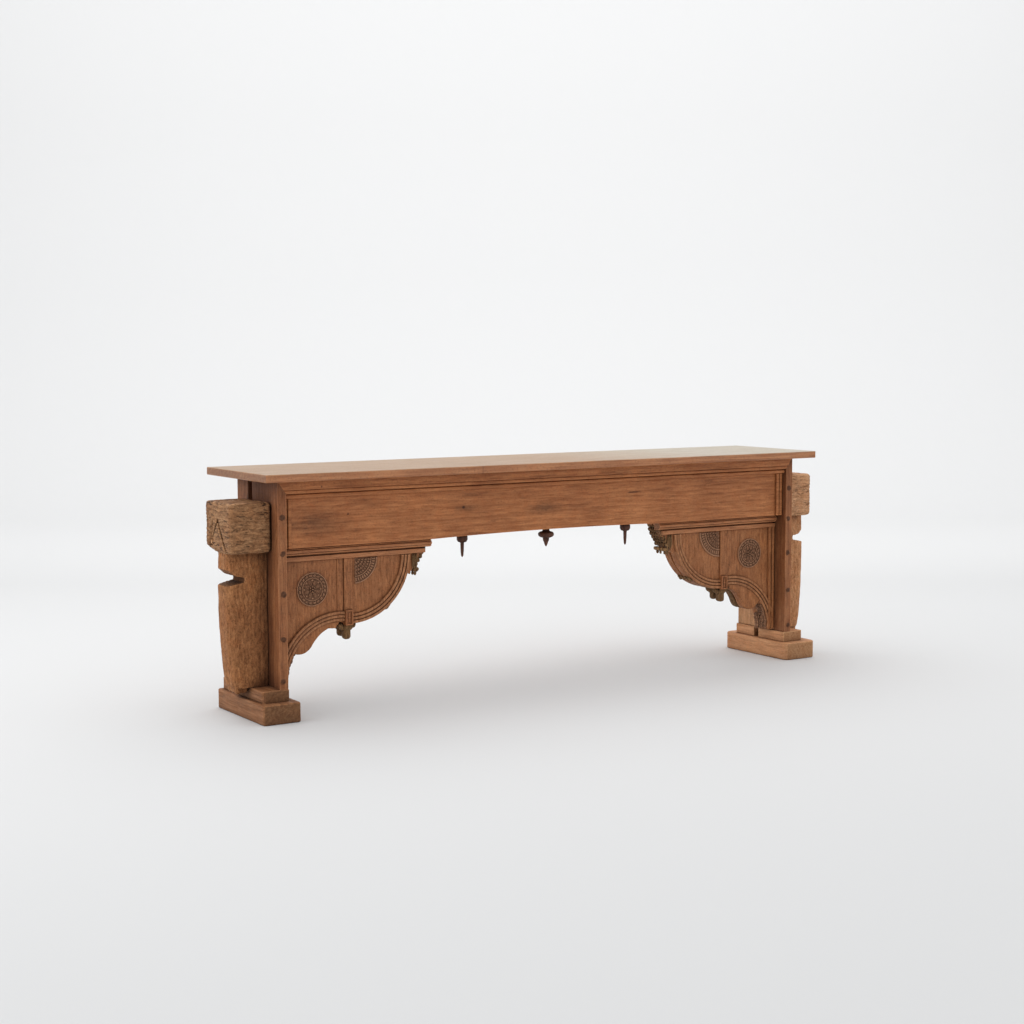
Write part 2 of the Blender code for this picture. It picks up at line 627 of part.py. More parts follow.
def camber_at(across):
    """How far the frieze's underside has risen at a place along the table."""
    share = min(1.0, max(0.0, (across + CAMBER_REACH) / (2 * CAMBER_REACH)))
    return 4 * FRIEZE_CAMBER * share * (1 - share)


def make_finial(place, at):
    """A turned drop: a cap or an ogee disc on a short neck, and a spike below."""
    length, head = FINIAL_LENGTH[place], FINIAL_HEAD[place]
    seat = min(camber_at(at - FINIAL_SEAT), camber_at(at + FINIAL_SEAT))
    if place == "middle":
        profile = ((0.0, 0.0), (FINIAL_SEAT, 0.0), (0.0105, 0.006), (0.0150, 0.012), (head - 0.003, 0.018),
                   (head, 0.0235), (head - 0.0025, 0.0285), (0.0140, 0.034), (0.0085, 0.039),
                   (0.0065, 0.042), (0.0050, length - 0.008), (0.0, length))
    else:
        profile = ((0.0, 0.0), (FINIAL_SEAT, 0.0), (FINIAL_SEAT, 0.003), (head, 0.006), (head, 0.014),
                   (head - 0.004, 0.0195), (0.0105, 0.023), (0.0070, 0.026), (0.0060, 0.045),
                   (0.0042, length - 0.004), (0.0, length))
    mesh = bpy.data.meshes.new(place)
    points = [(radius, 0.0, -down) for radius, down in profile]
    mesh.from_pydata(points, [(n, n + 1) for n in range(len(points) - 1)], [])
    item = loose("finial", mesh)
    item.location = (at, FRIEZE_MIDDLE, FRIEZE_BOTTOM + seat - FIT)
    lathe = item.modifiers.new("lathe", "SCREW")
    lathe.axis = "Z"
    lathe.steps = 14
    lathe.render_steps = 14
    lathe.use_merge_vertices = True
    lathe.merge_threshold = 0.00001
    finish(item, f"finial_{place}", TURNED_FINISH, smooth=True)


def body_reach(height, foot_reach):
    """How far the corbel's body stands out at a height above the base blocks."""
    rise = min(1.0, max(0.0, (height - BASE_TOP) / (CORBEL_HEAD_LOW - BASE_TOP)))
    slope = foot_reach + (CORBEL_NECK_REACH - foot_reach) * rise ** 0.35
    belly = CORBEL_BELLY * math.sin(math.pi * rise ** 1.15)
    return slope + belly


def make_corbel(side):
    """A weathered corbel: a heavy head with a pointed notch, a neck, and a curved body."""
    head_low = CORBEL_HEAD_LOW
    seat = CORBEL_SEAT + FIT
    front = JAMB_FRONT + CORBEL_BODY_FRONT[side]
    back = front + CORBEL_BODY_DEPTH[side]
    foot_reach = CORBEL_FOOT_REACH[side]
    head_front = JAMB_FRONT + CORBEL_HEAD_FRONT
    head = box("head", (-seat - CORBEL_REACH, head_front, head_low),
               (-seat, head_front + CORBEL_HEAD_DEPTH, CORBEL_HEAD_HIGH))
    rounded = head.modifiers.new("rounded", "BEVEL")
    rounded.width = CORBEL_HEAD_CORNER
    rounded.segments = 2
    rounded.limit_method = "ANGLE"

    # Body: a block rounded on its outer corners, bent to the worn curve of the old timber
    bm = bmesh.new()
    bmesh.ops.create_cube(bm, size=1.0)
    body_top = head_low + 0.090
    size = Vector((1.0, back - front, body_top - BASE_TOP))
    bmesh.ops.scale(bm, verts=bm.verts, vec=size)
    bmesh.ops.translate(bm, verts=bm.verts, vec=(-0.5, (front + back) / 2, (body_top + BASE_TOP) / 2))
    outer = [e for e in bm.edges if max(v.co.x for v in e.verts) < -0.9
             and abs(e.verts[0].co.z - e.verts[1].co.z) > 0.01]
    for vert in bm.verts:
        vert.co.x *= CORBEL_REACH
    bmesh.ops.bevel(bm, geom=outer, offset=CORBEL_BODY_ROUND, segments=4, profile=0.5, affect="EDGES")
    for share in (0.015, 0.06, 0.13, 0.24, 0.36, 0.48, 0.60, 0.72, 0.84):
        level = BASE_TOP + (body_top - BASE_TOP) * share
        bmesh.ops.bisect_plane(bm, geom=list(bm.verts) + list(bm.edges) + list(bm.faces),
                               plane_co=(0.0, 0.0, level), plane_no=(0.0, 0.0, 1.0))
    for vert in bm.verts:
        vert.co.x = vert.co.x / CORBEL_REACH * body_reach(vert.co.z, foot_reach) - seat
    body = from_bmesh("body", bm)

    tongue = box("tongue", (-seat - foot_reach + 0.002, front + 0.010, BASE_TOP - 0.018),
                 (-JAMB_OUTER - BASE_OUT - FIT - 0.002, back - 0.010, BASE_TOP + 0.030), edge=0.006)
    fuse(body, tongue)

    # Side notch under the neck
    notch_at = head_low - 0.085
    reach = CORBEL_REACH - 0.012
    notch = sawn("notch", [(-seat - reach + CORBEL_NOTCH_DEPTH, notch_at - 0.004),
                           (-seat - reach + CORBEL_NOTCH_DEPTH, notch_at + 0.009),
                           (-seat - reach + 0.020, notch_at + 0.016),
                           (-seat - reach + 0.0005, notch_at + 0.033),
                           (-seat - reach - 0.05, notch_at + 0.038),
                           (-seat - reach - 0.05, notch_at - 0.018),
                           (-seat - reach, notch_at - 0.014)],
                 front - 0.02, back + 0.02)
    carve(body, notch)
    fuse(head, body)

    # Pointed notch cut in the head around the top of the neck, and the worn corner behind it
    middle = JAMB_FRONT + CORBEL_VEE_AT
    vee = sawn("vee", [(front - 0.016, head_low - 0.010), (middle - 0.002, head_low + CORBEL_VEE_HEIGHT),
                       (back + 0.040, head_low - 0.010), (back + 0.001, head_low - 0.010),
                       (back + 0.001, head_low + 0.045), (middle, head_low + CORBEL_VEE_HEIGHT - 0.015),
                       (front - 0.004, head_low - 0.010)],
               -seat - CORBEL_REACH - 0.02, -seat - CORBEL_REACH + CORBEL_VEE_DEPTH, axis="X")
    corner, worn = -seat - CORBEL_REACH, CORBEL_HEAD_CHAMFER
    worn_corner = sawn("worn_corner", [(corner - 0.01, head_low - 0.01), (corner + worn, head_low - 0.01),
                                       (corner + worn, head_low), (corner, head_low + worn),
                                       (corner - 0.01, head_low + worn)],
                       back + 0.002, head_front + CORBEL_HEAD_DEPTH + 0.01)
    carve(head, vee, worn_corner)
    finish(head, f"corbel_{side}", WEATHERED_FINISH, side, smooth=True)


def new_collection(name):
    collection = bpy.data.collections.new(name)
    bpy.context.scene.collection.children.link(collection)
    return collection


for old in list(bpy.data.objects):
    bpy.data.objects.remove(old)

TABLE = new_collection("console_table")
WORKING = new_collection("working")
ROOT = bpy.data.objects.new("console_table", None)
TABLE.objects.link(ROOT)

make_top()
make_front_rail()
make_upper_moulding()
make_frieze()
make_rear_rail()
for end in SIDES:
    make_foot(end)
    make_base_blocks(end)
    make_jamb(end)
    make_rear_post(end)
    make_corbel(end)
    make_bracket(end)
for number, spot in enumerate(("left", "middle", "right")):
    make_finial(spot, (number - 1) * FINIAL_SPACING + FINIAL_SHIFT)
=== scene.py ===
# %% [markdown]
# # A long console table made from salvaged carved woodwork
#
# A carved lintel frame from an old building stands on the floor under a plank top. It has a cambered
# frieze between two deep jamb planks, two scrolled spandrel brackets, and a rough corbel outside
# each jamb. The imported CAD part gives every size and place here, and the finer relief and the
# finishes are added to it.

import math
import random

import bmesh
import bpy
from mathutils import Matrix, Vector, noise


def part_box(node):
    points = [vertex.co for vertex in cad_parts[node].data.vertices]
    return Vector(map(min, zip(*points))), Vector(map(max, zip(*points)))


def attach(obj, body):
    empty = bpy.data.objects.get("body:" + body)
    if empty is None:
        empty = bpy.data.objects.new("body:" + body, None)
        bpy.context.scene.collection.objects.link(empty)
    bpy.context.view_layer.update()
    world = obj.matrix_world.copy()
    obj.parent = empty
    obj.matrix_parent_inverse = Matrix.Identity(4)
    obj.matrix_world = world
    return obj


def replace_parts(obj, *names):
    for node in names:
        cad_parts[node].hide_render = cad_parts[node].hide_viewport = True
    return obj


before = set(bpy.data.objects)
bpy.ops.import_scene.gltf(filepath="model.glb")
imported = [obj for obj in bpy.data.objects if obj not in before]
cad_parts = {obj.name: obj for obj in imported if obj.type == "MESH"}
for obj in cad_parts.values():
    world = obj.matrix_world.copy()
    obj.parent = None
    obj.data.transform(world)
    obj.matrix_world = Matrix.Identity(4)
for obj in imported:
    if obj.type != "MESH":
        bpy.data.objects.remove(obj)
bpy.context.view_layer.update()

# %% [markdown]
# ## Camera
#
# The photograph was taken from the left of the front at a little over a metre high, with a long
# lens. Its three turns and its place were solved from the table's straight edges. A standard view
# is used, because the pale studio and the mid-brown wood both sit inside its range.

# %%
YAW = math.radians(32.638)
PITCH = math.radians(5.3135)
ROLL = math.radians(-0.108)
CAMERA_PLACE = (-3.3211, -5.0643, 1.1406)
FOCAL_LENGTH = 62.71
SENSOR_WIDTH = 36.0

lens = bpy.data.cameras.new("camera")
lens.sensor_width = SENSOR_WIDTH
lens.lens = FOCAL_LENGTH
camera = bpy.data.objects.new("camera", lens)
bpy.context.scene.collection.objects.link(camera)
turn = (Matrix.Rotation(-YAW, 4, "Z") @ Matrix.Rotation(math.radians(90) - PITCH, 4, "X")
        @ Matrix.Rotation(ROLL, 4, "Z"))
camera.matrix_world = Matrix.Translation(CAMERA_PLACE) @ turn
bpy.context.scene.camera = camera
bpy.context.scene.view_settings.view_transform = "Standard"
print("camera at", [round(v, 3) for v in camera.location])

# %% [markdown]
# ## Floor and light
#
# The studio floor sweeps up into the backdrop with no line between them, so it's one strip: an edge
# drawn along the floor, spun into a quarter turn and drawn up. A large soft lamp hangs over the
# table, which gives the faint shadow, a weaker one lights its left end, and a third only washes the
# backdrop. A pale world fills the front.

# %%
AHEAD = Vector((math.sin(YAW), math.cos(YAW), 0.0))
ASIDE = Vector((math.cos(YAW), -math.sin(YAW), 0.0))
UP = Vector((0.0, 0.0, 1.0))
STAGE_HALF_WIDTH = 14.0
STAGE_FRONT = -12.0
STAGE_BACK = 5.5
SWEEP_RADIUS = 3.0
WALL_HEIGHT = 7.0
FLOOR_GREY = 0.69
FLOOR_ROUGHNESS = 0.85
# Each lamp's place, aim, width, depth and power in watts
LAMPS = {
    "key": ((-4.6, 0.6, 2.7), (0.0, 0.0, 0.3), 3.2, 3.0, 40.0),
    "overhead": ((0.7, 1.4, 4.2), (0.0, 0.0, 0.0), 7.0, 5.0, 112.0),
    "backdrop_wash": (AHEAD * 3.0 + UP * 4.6, AHEAD * 8.5 + UP * 4.0, 13.0, 2.0, 265.0),
}
WORLD_COLOUR = (0.93, 0.94, 0.95, 1.0)
WORLD_STRENGTH = 0.95


def plain(name, grey, roughness):
    """A plain matt studio surface."""
    material = bpy.data.materials.new(name)
    material.use_nodes = True
    shader = material.node_tree.nodes["Principled BSDF"]
    shader.inputs["Base Color"].default_value = (grey, grey, grey, 1.0)
    shader.inputs["Roughness"].default_value = roughness
    shader.inputs["Specular IOR Level"].default_value = 0.2
    return material


def new_verts(made):
    """The vertices among what a bmesh operator has made."""
    return [part for part in made if isinstance(part, bmesh.types.BMVert)]


def new_edges(made):
    """The edges among what a bmesh operator has made."""
    return [part for part in made if isinstance(part, bmesh.types.BMEdge)]


def make_stage():
    """The floor and the backdrop, one strip that sweeps up behind the table."""
    bm = bmesh.new()
    left = bm.verts.new(AHEAD * STAGE_FRONT - ASIDE * STAGE_HALF_WIDTH)
    right = bm.verts.new(AHEAD * STAGE_FRONT + ASIDE * STAGE_HALF_WIDTH)
    edge = bm.edges.new((left, right))
    made = bmesh.ops.extrude_edge_only(bm, edges=[edge])["geom"]
    bmesh.ops.translate(bm, verts=new_verts(made), vec=AHEAD * (STAGE_BACK - STAGE_FRONT))
    centre = AHEAD * STAGE_BACK + UP * SWEEP_RADIUS
    made = bmesh.ops.spin(bm, geom=new_verts(made) + new_edges(made), cent=centre, axis=ASIDE,
                          angle=math.radians(90), steps=24, use_merge=False)["geom_last"]
    made = bmesh.ops.extrude_edge_only(bm, edges=new_edges(made))["geom"]
    bmesh.ops.translate(bm, verts=new_verts(made), vec=UP * WALL_HEIGHT)
    bmesh.ops.recalc_face_normals(bm, faces=bm.faces)
    mesh = bpy.data.meshes.new("studio_floor")
    bm.to_mesh(mesh)
    bm.free()
    mesh.shade_smooth()
    floor = bpy.data.objects.new("studio_floor", mesh)
    floor.data.materials.append(plain("studio_floor", FLOOR_GREY, FLOOR_ROUGHNESS))
    bpy.context.scene.collection.objects.link(floor)


def soft_lamp(name, place, aim, width, depth, power):
    """A soft rectangular lamp that isn't seen itself."""
    data = bpy.data.lights.new(name, "AREA")
    data.shape = "RECTANGLE"
    data.size = width
    data.size_y = depth
    data.energy = power
    lamp = bpy.data.objects.new(name, data)
    lamp.location = place
    lamp.rotation_euler = (Vector(aim) - Vector(place)).to_track_quat("-Z", "Y").to_euler()
    lamp.visible_camera = False
    bpy.context.scene.collection.objects.link(lamp)


make_stage()
for lamp_name, lamp_settings in LAMPS.items():
    soft_lamp(lamp_name, *lamp_settings)
world = bpy.data.worlds.new("studio")
world.use_nodes = True
sky = world.node_tree.nodes["Background"]
sky.inputs["Color"].default_value = WORLD_COLOUR
sky.inputs["Strength"].default_value = WORLD_STRENGTH
bpy.context.scene.world = world
print("stage made, floor to wall", STAGE_BACK + SWEEP_RADIUS, "m behind the middle")

# %% [markdown]
# ## Wood
#
# Old hardwood, oiled over a worn face. All its finishes come from one recipe: growth rings cut
# lengthwise, short fibre streaks, fine dark pores and slow patches of tone, all stretched along the
# grain. Where surfaces meet and hollows lie the colour is darkened, partly grime and partly painted
# shade, and arrises are rubbed paler. On the top's upper face a paler tone is painted towards its
# right end, partly faded wood and partly a painted reflection. The recipe takes its grain from the
# object's own coordinates, so every piece has its own part of the log and its end grain is right.

# %%
# How far in from an arris the rubbing reaches
WORN_EDGE = 0.0045
# The share of each tone's light that is kept, and a display's gamma
DEEPENED = 0.86
DISPLAY_GAMMA = 2.2
# Tints that a colour is multiplied by
PATCH_TINT = (0.74, 0.68, 0.66, 1.0)
BLOTCH_TINT = (1.0, 0.82, 0.66, 1.0)
# Grain that shows through the top's painted reflection and fading
FADE_AND_REFLECTION_STREAK = (0.74, 0.66, 0.56, 1.0)
END_GRAIN_TINT = (0.61, 0.63, 0.59, 1.0)
STAIN_TINT = (0.34, 0.36, 0.40, 1.0)
BUMP_DEPTH = 0.0014
# How strongly the growth rings show
FIGURE = 0.3


def node(tree, kind, inputs=None, **settings):
    """A shader node with its inputs set to values or joined to other nodes' outputs."""
    made = tree.nodes.new("ShaderNode" + kind)
    for name, value in settings.items():
        setattr(made, name, value)
    for name, value in (inputs or {}).items():
        if isinstance(value, bpy.types.NodeSocket):
            tree.links.new(value, made.inputs[name])
        else:
            made.inputs[name].default_value = value
    return made


def blend(tree, share, first, second, mode="MIX"):
    """Mixes two colours; the sockets of a colour mix are told apart by their number."""
    return node(tree, "Mix", {0: share, 6: first, 7: second}, data_type="RGBA", blend_type=mode,
                clamp_factor=True).outputs[2]


def spread(tree, value, low, high, to_low=0.0, to_high=1.0):
    """Stretches a value's range between two limits onto another range."""
    return node(tree, "MapRange", {"Value": value, "From Min": low, "From Max": high,
                                   "To Min": to_low, "To Max": to_high}).outputs["Result"]


def calc(tree, kind, first, second):
    """One step of arithmetic on two values."""
    return node(tree, "Math", {0: first, 1: second}, operation=kind).outputs[0]


def times(tree, value, factor):
    """A value times another."""
    return calc(tree, "MULTIPLY", value, factor)


def plus(tree, value, other, factor):
    """A value plus a share of another."""
    return calc(tree, "ADD", value, times(tree, other, factor))


def display(red, green, blue):
    """A colour given in shares of display white, as the shader wants it, a little deepened."""
    return tuple(DEEPENED * part ** DISPLAY_GAMMA for part in (red, green, blue)) + (1.0,)


def cloud(tree, place, scale, detail, roughness, distortion=0.0):
    """A noise texture's value, from 0 to 1."""
    return node(tree, "TexNoise", {"Vector": place, "Scale": scale, "Detail": detail,
                                   "Roughness": roughness, "Distortion": distortion}).outputs["Fac"]


def marks_in(tree, place, marks, edge, core):
    """Where dark marks lie: each has a place and its half sizes, in metres, and fades to its edge."""
    strongest = None
    wander = node(tree, "TexNoise", {"Vector": place, "Scale": 60.0, "Detail": 3.0}).outputs["Color"]
    uneven = node(tree, "VectorMath", {0: wander, 1: (0.5, 0.5, 0.5)}, operation="SUBTRACT").outputs[0]
    for centre, half in marks:
        away = node(tree, "VectorMath", {0: place, 1: centre}, operation="SUBTRACT").outputs[0]
        away = node(tree, "VectorMath", {0: away, 1: tuple(1.0 / part for part in half)},
                    operation="MULTIPLY").outputs[0]
        away = node(tree, "VectorMath", {0: away, 1: uneven}, operation="ADD").outputs[0]
        length = node(tree, "VectorMath", {0: away}, operation="LENGTH").outputs["Value"]
        mark = spread(tree, length, edge, core)
        strongest = mark if strongest is None else calc(tree, "MAXIMUM", strongest, mark)
    return strongest


def wood_finish(name, pale, deep, axis, seed, rings=24.0, along=0.09, cracks=0.3, specks=0.35,
                grime_and_shade=0.75, grime_and_shade_reach=0.02, wear=0.35, roughness=0.55, relief=0.5, mottle=0.6,
                specular=0.3, marks=(), stains=(), fade_and_reflection=None):
    """One wood finish: its two tones, its grain axes, and how strong each part of it is."""
    material = bpy.data.materials.new(name)
    material.use_nodes = True
    tree = material.node_tree
    shader = tree.nodes["Principled BSDF"]
    source = node(tree, "TexCoord")
    place = source.outputs["Object"]
    facing = node(tree, "SeparateXYZ", {"Vector": source.outputs["Normal"]})
    stretch = [along if letter in axis else 1.0 for letter in "XYZ"]
    log = node(tree, "Mapping", {"Vector": place, "Scale": stretch,
                                 "Location": (0.31 + seed, 0.27 - seed, 0.22 + seed)}).outputs["Vector"]

    growth = node(tree, "TexWave", {"Vector": log, "Scale": rings, "Distortion": 9.0, "Detail": 4.0,
                                    "Detail Scale": 2.2, "Detail Roughness": 0.6},
                  wave_type="RINGS", rings_direction=axis[0], wave_profile="SAW").outputs["Fac"]
    fibre = cloud(tree, log, 120.0, 7.0, 0.66, 0.6)
    split = cloud(tree, log, 95.0, 5.0, 0.6, 1.2)
    speck = cloud(tree, place, 190.0, 4.0, 0.7)
    patch = cloud(tree, place, 5.5, 4.0, 0.55)
    blotch = cloud(tree, place, 30.0, 6.0, 0.65)

    # Ambient occlusion darkens the colour where surfaces meet and hollows lie: partly grime, partly
    # painted shade
    open_air = node(tree, "AmbientOcclusion", {"Distance": grime_and_shade_reach}, samples=6).outputs["AO"]
    inward = node(tree, "AmbientOcclusion", {"Distance": WORN_EDGE}, samples=4,
                  inside=True, only_local=True).outputs["AO"]
    hollow = spread(tree, plus(tree, open_air, blotch, 0.22), 1.0, 0.35)
    rubbed = spread(tree, plus(tree, inward, blotch, 0.6), 1.12, 0.62)
    crack = times(tree, spread(tree, split, 0.42, 0.34), cracks)

    pale, deep = display(*pale), display(*deep)
    dark = (deep[0] * 0.20, deep[1] * 0.16, deep[2] * 0.14, 1.0)
    streak = calc(tree, "ADD", times(tree, spread(tree, growth, 0.1, 0.95), FIGURE),
                  spread(tree, fibre, 0.36, 0.70, 0.0, 0.8))
    colour = blend(tree, streak, pale, deep)
    colour = blend(tree, spread(tree, patch, 0.38, 0.62, 0.0, mottle), colour,
                   PATCH_TINT, "MULTIPLY")
    colour = blend(tree, spread(tree, blotch, 0.55, 0.38, 0.0, mottle * 0.6), colour,
                   BLOTCH_TINT, "MULTIPLY")
    # The top's upper face is painted paler towards its right end: partly faded wood, partly a painted
    # reflection of the bright studio
    if fade_and_reflection:
        run = node(tree, "SeparateXYZ", {"Vector": place}).outputs["X"]
        run = plus(tree, run, blotch, 0.5)
        near, far = (display(*tone) for tone in fade_and_reflection)
        faded_and_reflected = blend(tree, spread(tree, run, 0.35, 0.95), near, far)
        faded_and_reflected = blend(tree, times(tree, streak, 0.6), faded_and_reflected, FADE_AND_REFLECTION_STREAK, "MULTIPLY")
        colour = blend(tree, spread(tree, facing.outputs["Z"], 0.4, 0.9), colour, faded_and_reflected)
    if len(axis) == 1:
        end_grain = node(tree, "Math", {0: facing.outputs[axis]}, operation="ABSOLUTE").outputs[0]
        colour = blend(tree, spread(tree, end_grain, 0.6, 0.95, 0.0, 0.9), colour,
                       END_GRAIN_TINT, "MULTIPLY")
    colour = blend(tree, times(tree, spread(tree, speck, 0.52, 0.66), specks), colour, dark)
    colour = blend(tree, crack, colour, dark)
    paler = tuple(min(1.0, part * 1.7 + 0.02) for part in pale[:3]) + (1.0,)
    colour = blend(tree, times(tree, rubbed, wear), colour, paler)
    # Painted shade and grime darken the hollows and the places where parts meet
    colour = blend(tree, times(tree, hollow, grime_and_shade), colour, dark)
    if marks:
        knots = marks_in(tree, place, marks, 1.15, 0.45)
        colour = blend(tree, times(tree, knots, 0.85), colour, dark)
    if stains:
        stained = marks_in(tree, place, stains, 1.5, 0.1)
        colour = blend(tree, times(tree, stained, 0.7), colour, STAIN_TINT, "MULTIPLY")
    tree.links.new(colour, shader.inputs["Base Color"])

    shader.inputs["Specular IOR Level"].default_value = specular
    gloss = spread(tree, fibre, 0.3, 0.7, roughness - 0.07, roughness + 0.12)
    tree.links.new(plus(tree, gloss, hollow, 0.15), shader.inputs["Roughness"])
    height = plus(tree, times(tree, fibre, 0.8), crack, -1.5)
    height = plus(tree, plus(tree, height, speck, -0.5), blotch, 1.2)
    bump = node(tree, "Bump", {"Height": height, "Strength": relief, "Distance": BUMP_DEPTH})
    tree.links.new(bump.outputs["Normal"], shader.inputs["Normal"])
    return material


# The pale tones painted on the top's upper face, at its middle and towards its right end:
# partly faded wood, partly a painted reflection of the bright studio
TOP_FADE_AND_REFLECTION = ((0.685, 0.53, 0.365), (0.745, 0.695, 0.61))
# Places and half sizes of the joint in the top and of the front's knots and stains
FRIEZE_FACE = -0.138
TOP_JOINT = ((-0.33, 0.0, 0.75), (0.0011, 1.0, 1.0))
FRONT_MARKS = (
    ((-0.352, FRIEZE_FACE, 0.621), (0.007, 0.05, 0.005)),
    ((-0.772, FRIEZE_FACE, 0.622), (0.004, 0.05, 0.004)),
    ((-0.876, -0.167, 0.713), (0.003, 0.02, 0.003)),
    ((0.330, FRIEZE_FACE, 0.640), (0.030, 0.05, 0.003)),
)
FRONT_STAINS = (
    ((-0.340, FRIEZE_FACE, 0.619), (0.040, 0.05, 0.011)),
    ((-0.034, FRIEZE_FACE, 0.604), (0.060, 0.05, 0.017)),
    ((-0.890, FRIEZE_FACE, 0.600), (0.080, 0.05, 0.035)),
)
TOP_WOOD = wood_finish("top_wood", (0.81, 0.56, 0.375), (0.63, 0.395, 0.245), "X", 0.02, rings=16.0,
                       grime_and_shade=0.5, wear=0.2, roughness=0.36, relief=0.3, cracks=0.25, along=0.05,
                       specular=0.5, marks=(TOP_JOINT,), fade_and_reflection=TOP_FADE_AND_REFLECTION)
# Its grime and painted shade stay within a few millimetres: thin dark lines painted where parts meet
FRONT_WOOD = wood_finish("front_wood", (0.82, 0.54, 0.34), (0.60, 0.365, 0.215), "X", 0.05, rings=16.0,
                         grime_and_shade=0.55, grime_and_shade_reach=0.004, along=0.08, marks=FRONT_MARKS,
                         stains=FRONT_STAINS)
# Its grime and painted shade reach far, so the deep recess beside each jamb is painted dark
JAMB_WOOD = wood_finish("jamb_wood", (0.725, 0.485, 0.32), (0.49, 0.295, 0.175), "Z", 0.09,
                        grime_and_shade=0.95, grime_and_shade_reach=0.10, wear=0.5)
POST_WOOD = wood_finish("post_wood", (0.91, 0.69, 0.50), (0.66, 0.47, 0.32), "Z", 0.11,
                        grime_and_shade=0.6, grime_and_shade_reach=0.03, wear=0.4)
CARVED_WOOD = wood_finish("carved_wood", (0.765, 0.51, 0.33), (0.54, 0.34, 0.205), "Z", 0.13,
                          along=0.20, grime_and_shade=0.8, grime_and_shade_reach=0.008, wear=0.45, specks=0.5)
MOULDED_WOOD = wood_finish("moulded_wood", (0.82, 0.56, 0.38), (0.60, 0.39, 0.26), "X", 0.15,
                           along=0.10, grime_and_shade=0.7, grime_and_shade_reach=0.006, wear=0.5)
RIDGE_WOOD = wood_finish("ridge_wood", (0.78, 0.545, 0.375), (0.50, 0.31, 0.185), "Z", 0.14,
                         along=0.35, grime_and_shade=1.0, grime_and_shade_reach=0.006, wear=0.85)
FINE_WOOD = wood_finish("fine_carved_wood", (0.72, 0.465, 0.30), (0.48, 0.295, 0.175), "Z", 0.19,
                        along=0.3, grime_and_shade=0.9, grime_and_shade_reach=0.005, wear=0.1)
CARVED_DARK = wood_finish("carved_dark", (0.62, 0.45, 0.335), (0.38, 0.25, 0.165), "Z", 0.17,
                          along=0.3, grime_and_shade=0.95, grime_and_shade_reach=0.008, wear=0.7, roughness=0.62)
LEAF_WOOD = wood_finish("leaf_wood", (0.58, 0.44, 0.29), (0.36, 0.25, 0.145), "Z", 0.21, along=0.3,
                        grime_and_shade=0.95, grime_and_shade_reach=0.012, wear=0.6, roughness=0.7, relief=0.9,
                        specks=0.6)
WEATHERED_TONES = {"left": ((0.79, 0.55, 0.355), (0.49, 0.31, 0.175)),
                   "right": ((0.90, 0.66, 0.47), (0.66, 0.45, 0.29))}
HEAD_TONES = {"left": ((0.80, 0.605, 0.43), (0.40, 0.265, 0.165)),
              "right": ((0.98, 0.76, 0.575), (0.66, 0.475, 0.33))}
HEAD_CRACKS = {"left": 0.85, "right": 0.5}
PLINTH_TONES = {"left": ((0.72, 0.51, 0.35), (0.50, 0.325, 0.20)),
                "right": ((0.94, 0.70, 0.51), (0.75, 0.52, 0.355))}
BODY_WOOD, HEAD_WOOD, PLINTH_WOOD = {}, {}, {}
# The corbel bodies' grime and painted shade reach far, so their sides toward the jambs are painted dark
for number, end in enumerate(("left", "right")):
    BODY_WOOD[end] = wood_finish(f"weathered_wood_{end}", *WEATHERED_TONES[end], "Z", 0.25 + number,
                                 along=0.45, grime_and_shade=0.95, grime_and_shade_reach=0.07, wear=0.6, roughness=0.72,
                                 relief=1.0, specks=0.6, cracks=0.2, mottle=0.8)
    HEAD_WOOD[end] = wood_finish(f"hewn_wood_{end}", *HEAD_TONES[end], "XY", 0.41 + number,
                                 along=0.30, grime_and_shade=0.95, grime_and_shade_reach=0.012, wear=0.8,
                                 roughness=0.75, relief=1.0, specks=0.5, cracks=HEAD_CRACKS[end],
                                 mottle=0.8)
    PLINTH_WOOD[end] = wood_finish(f"plinth_wood_{end}", *PLINTH_TONES[end], "Y", 0.29 + number,
                                   grime_and_shade_reach=0.03, wear=0.6, roughness=0.62, relief=0.6,
                                   specks=0.25)
TURNED_WOOD = wood_finish("turned_wood", (0.42, 0.27, 0.20), (0.24, 0.14, 0.10), "Z", 0.33,
                          wear=0.4, roughness=0.5)
PEG_WOOD = wood_finish("peg_wood", (0.53, 0.335, 0.215), (0.33, 0.20, 0.12), "Y", 0.37,
                       grime_and_shade=0.9, grime_and_shade_reach=0.006, wear=0.2, roughness=0.6)

FINISHES = {
    "table_top": TOP_WOOD, "front_rail": FRONT_WOOD, "upper_moulding": FRONT_WOOD,
    "frieze": FRONT_WOOD, "rear_rail": FRONT_WOOD, "rear_post_left": JAMB_WOOD,
    "rear_post_right": POST_WOOD, "finial_middle": TURNED_WOOD,
}
for end, wood in PLINTH_WOOD.items():
    FINISHES |= {f"jamb_{end}": JAMB_WOOD, f"bracket_{end}": CARVED_WOOD,
                 f"corbel_{end}": BODY_WOOD[end], f"finial_{end}": TURNED_WOOD,
                 f"foot_{end}": wood, f"base_block_front_{end}": wood,
                 f"base_block_rear_{end}": wood}
for cad_name, wood in FINISHES.items():
    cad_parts[cad_name].data.materials[0] = wood
print(len(FINISHES), "CAD nodes finished")

# %% [markdown]
# ## Making carved pieces
#
# Each carved piece is built in one bmesh from a few operators: outlines drawn out, profiles spun
# along an arc, rounded lumps scaled to shape. A right-hand piece is the left one mirrored, as the
# two brackets of an opening are.

# %%
SIDES = ("left", "right")
MERGE = 0.00001
# Without a seed, vector noise starts from the clock and differs from run to run
noise.seed_set(11)


def arc(centre, radius, start, end, steps):
    """Points of a circle's arc, with the angles in degrees."""
    points = []
    for step in range(steps + 1):
        angle = math.radians(start + (end - start) * step / steps)
        points.append((centre[0] + radius * math.cos(angle), centre[1] + radius * math.sin(angle)))
    return points


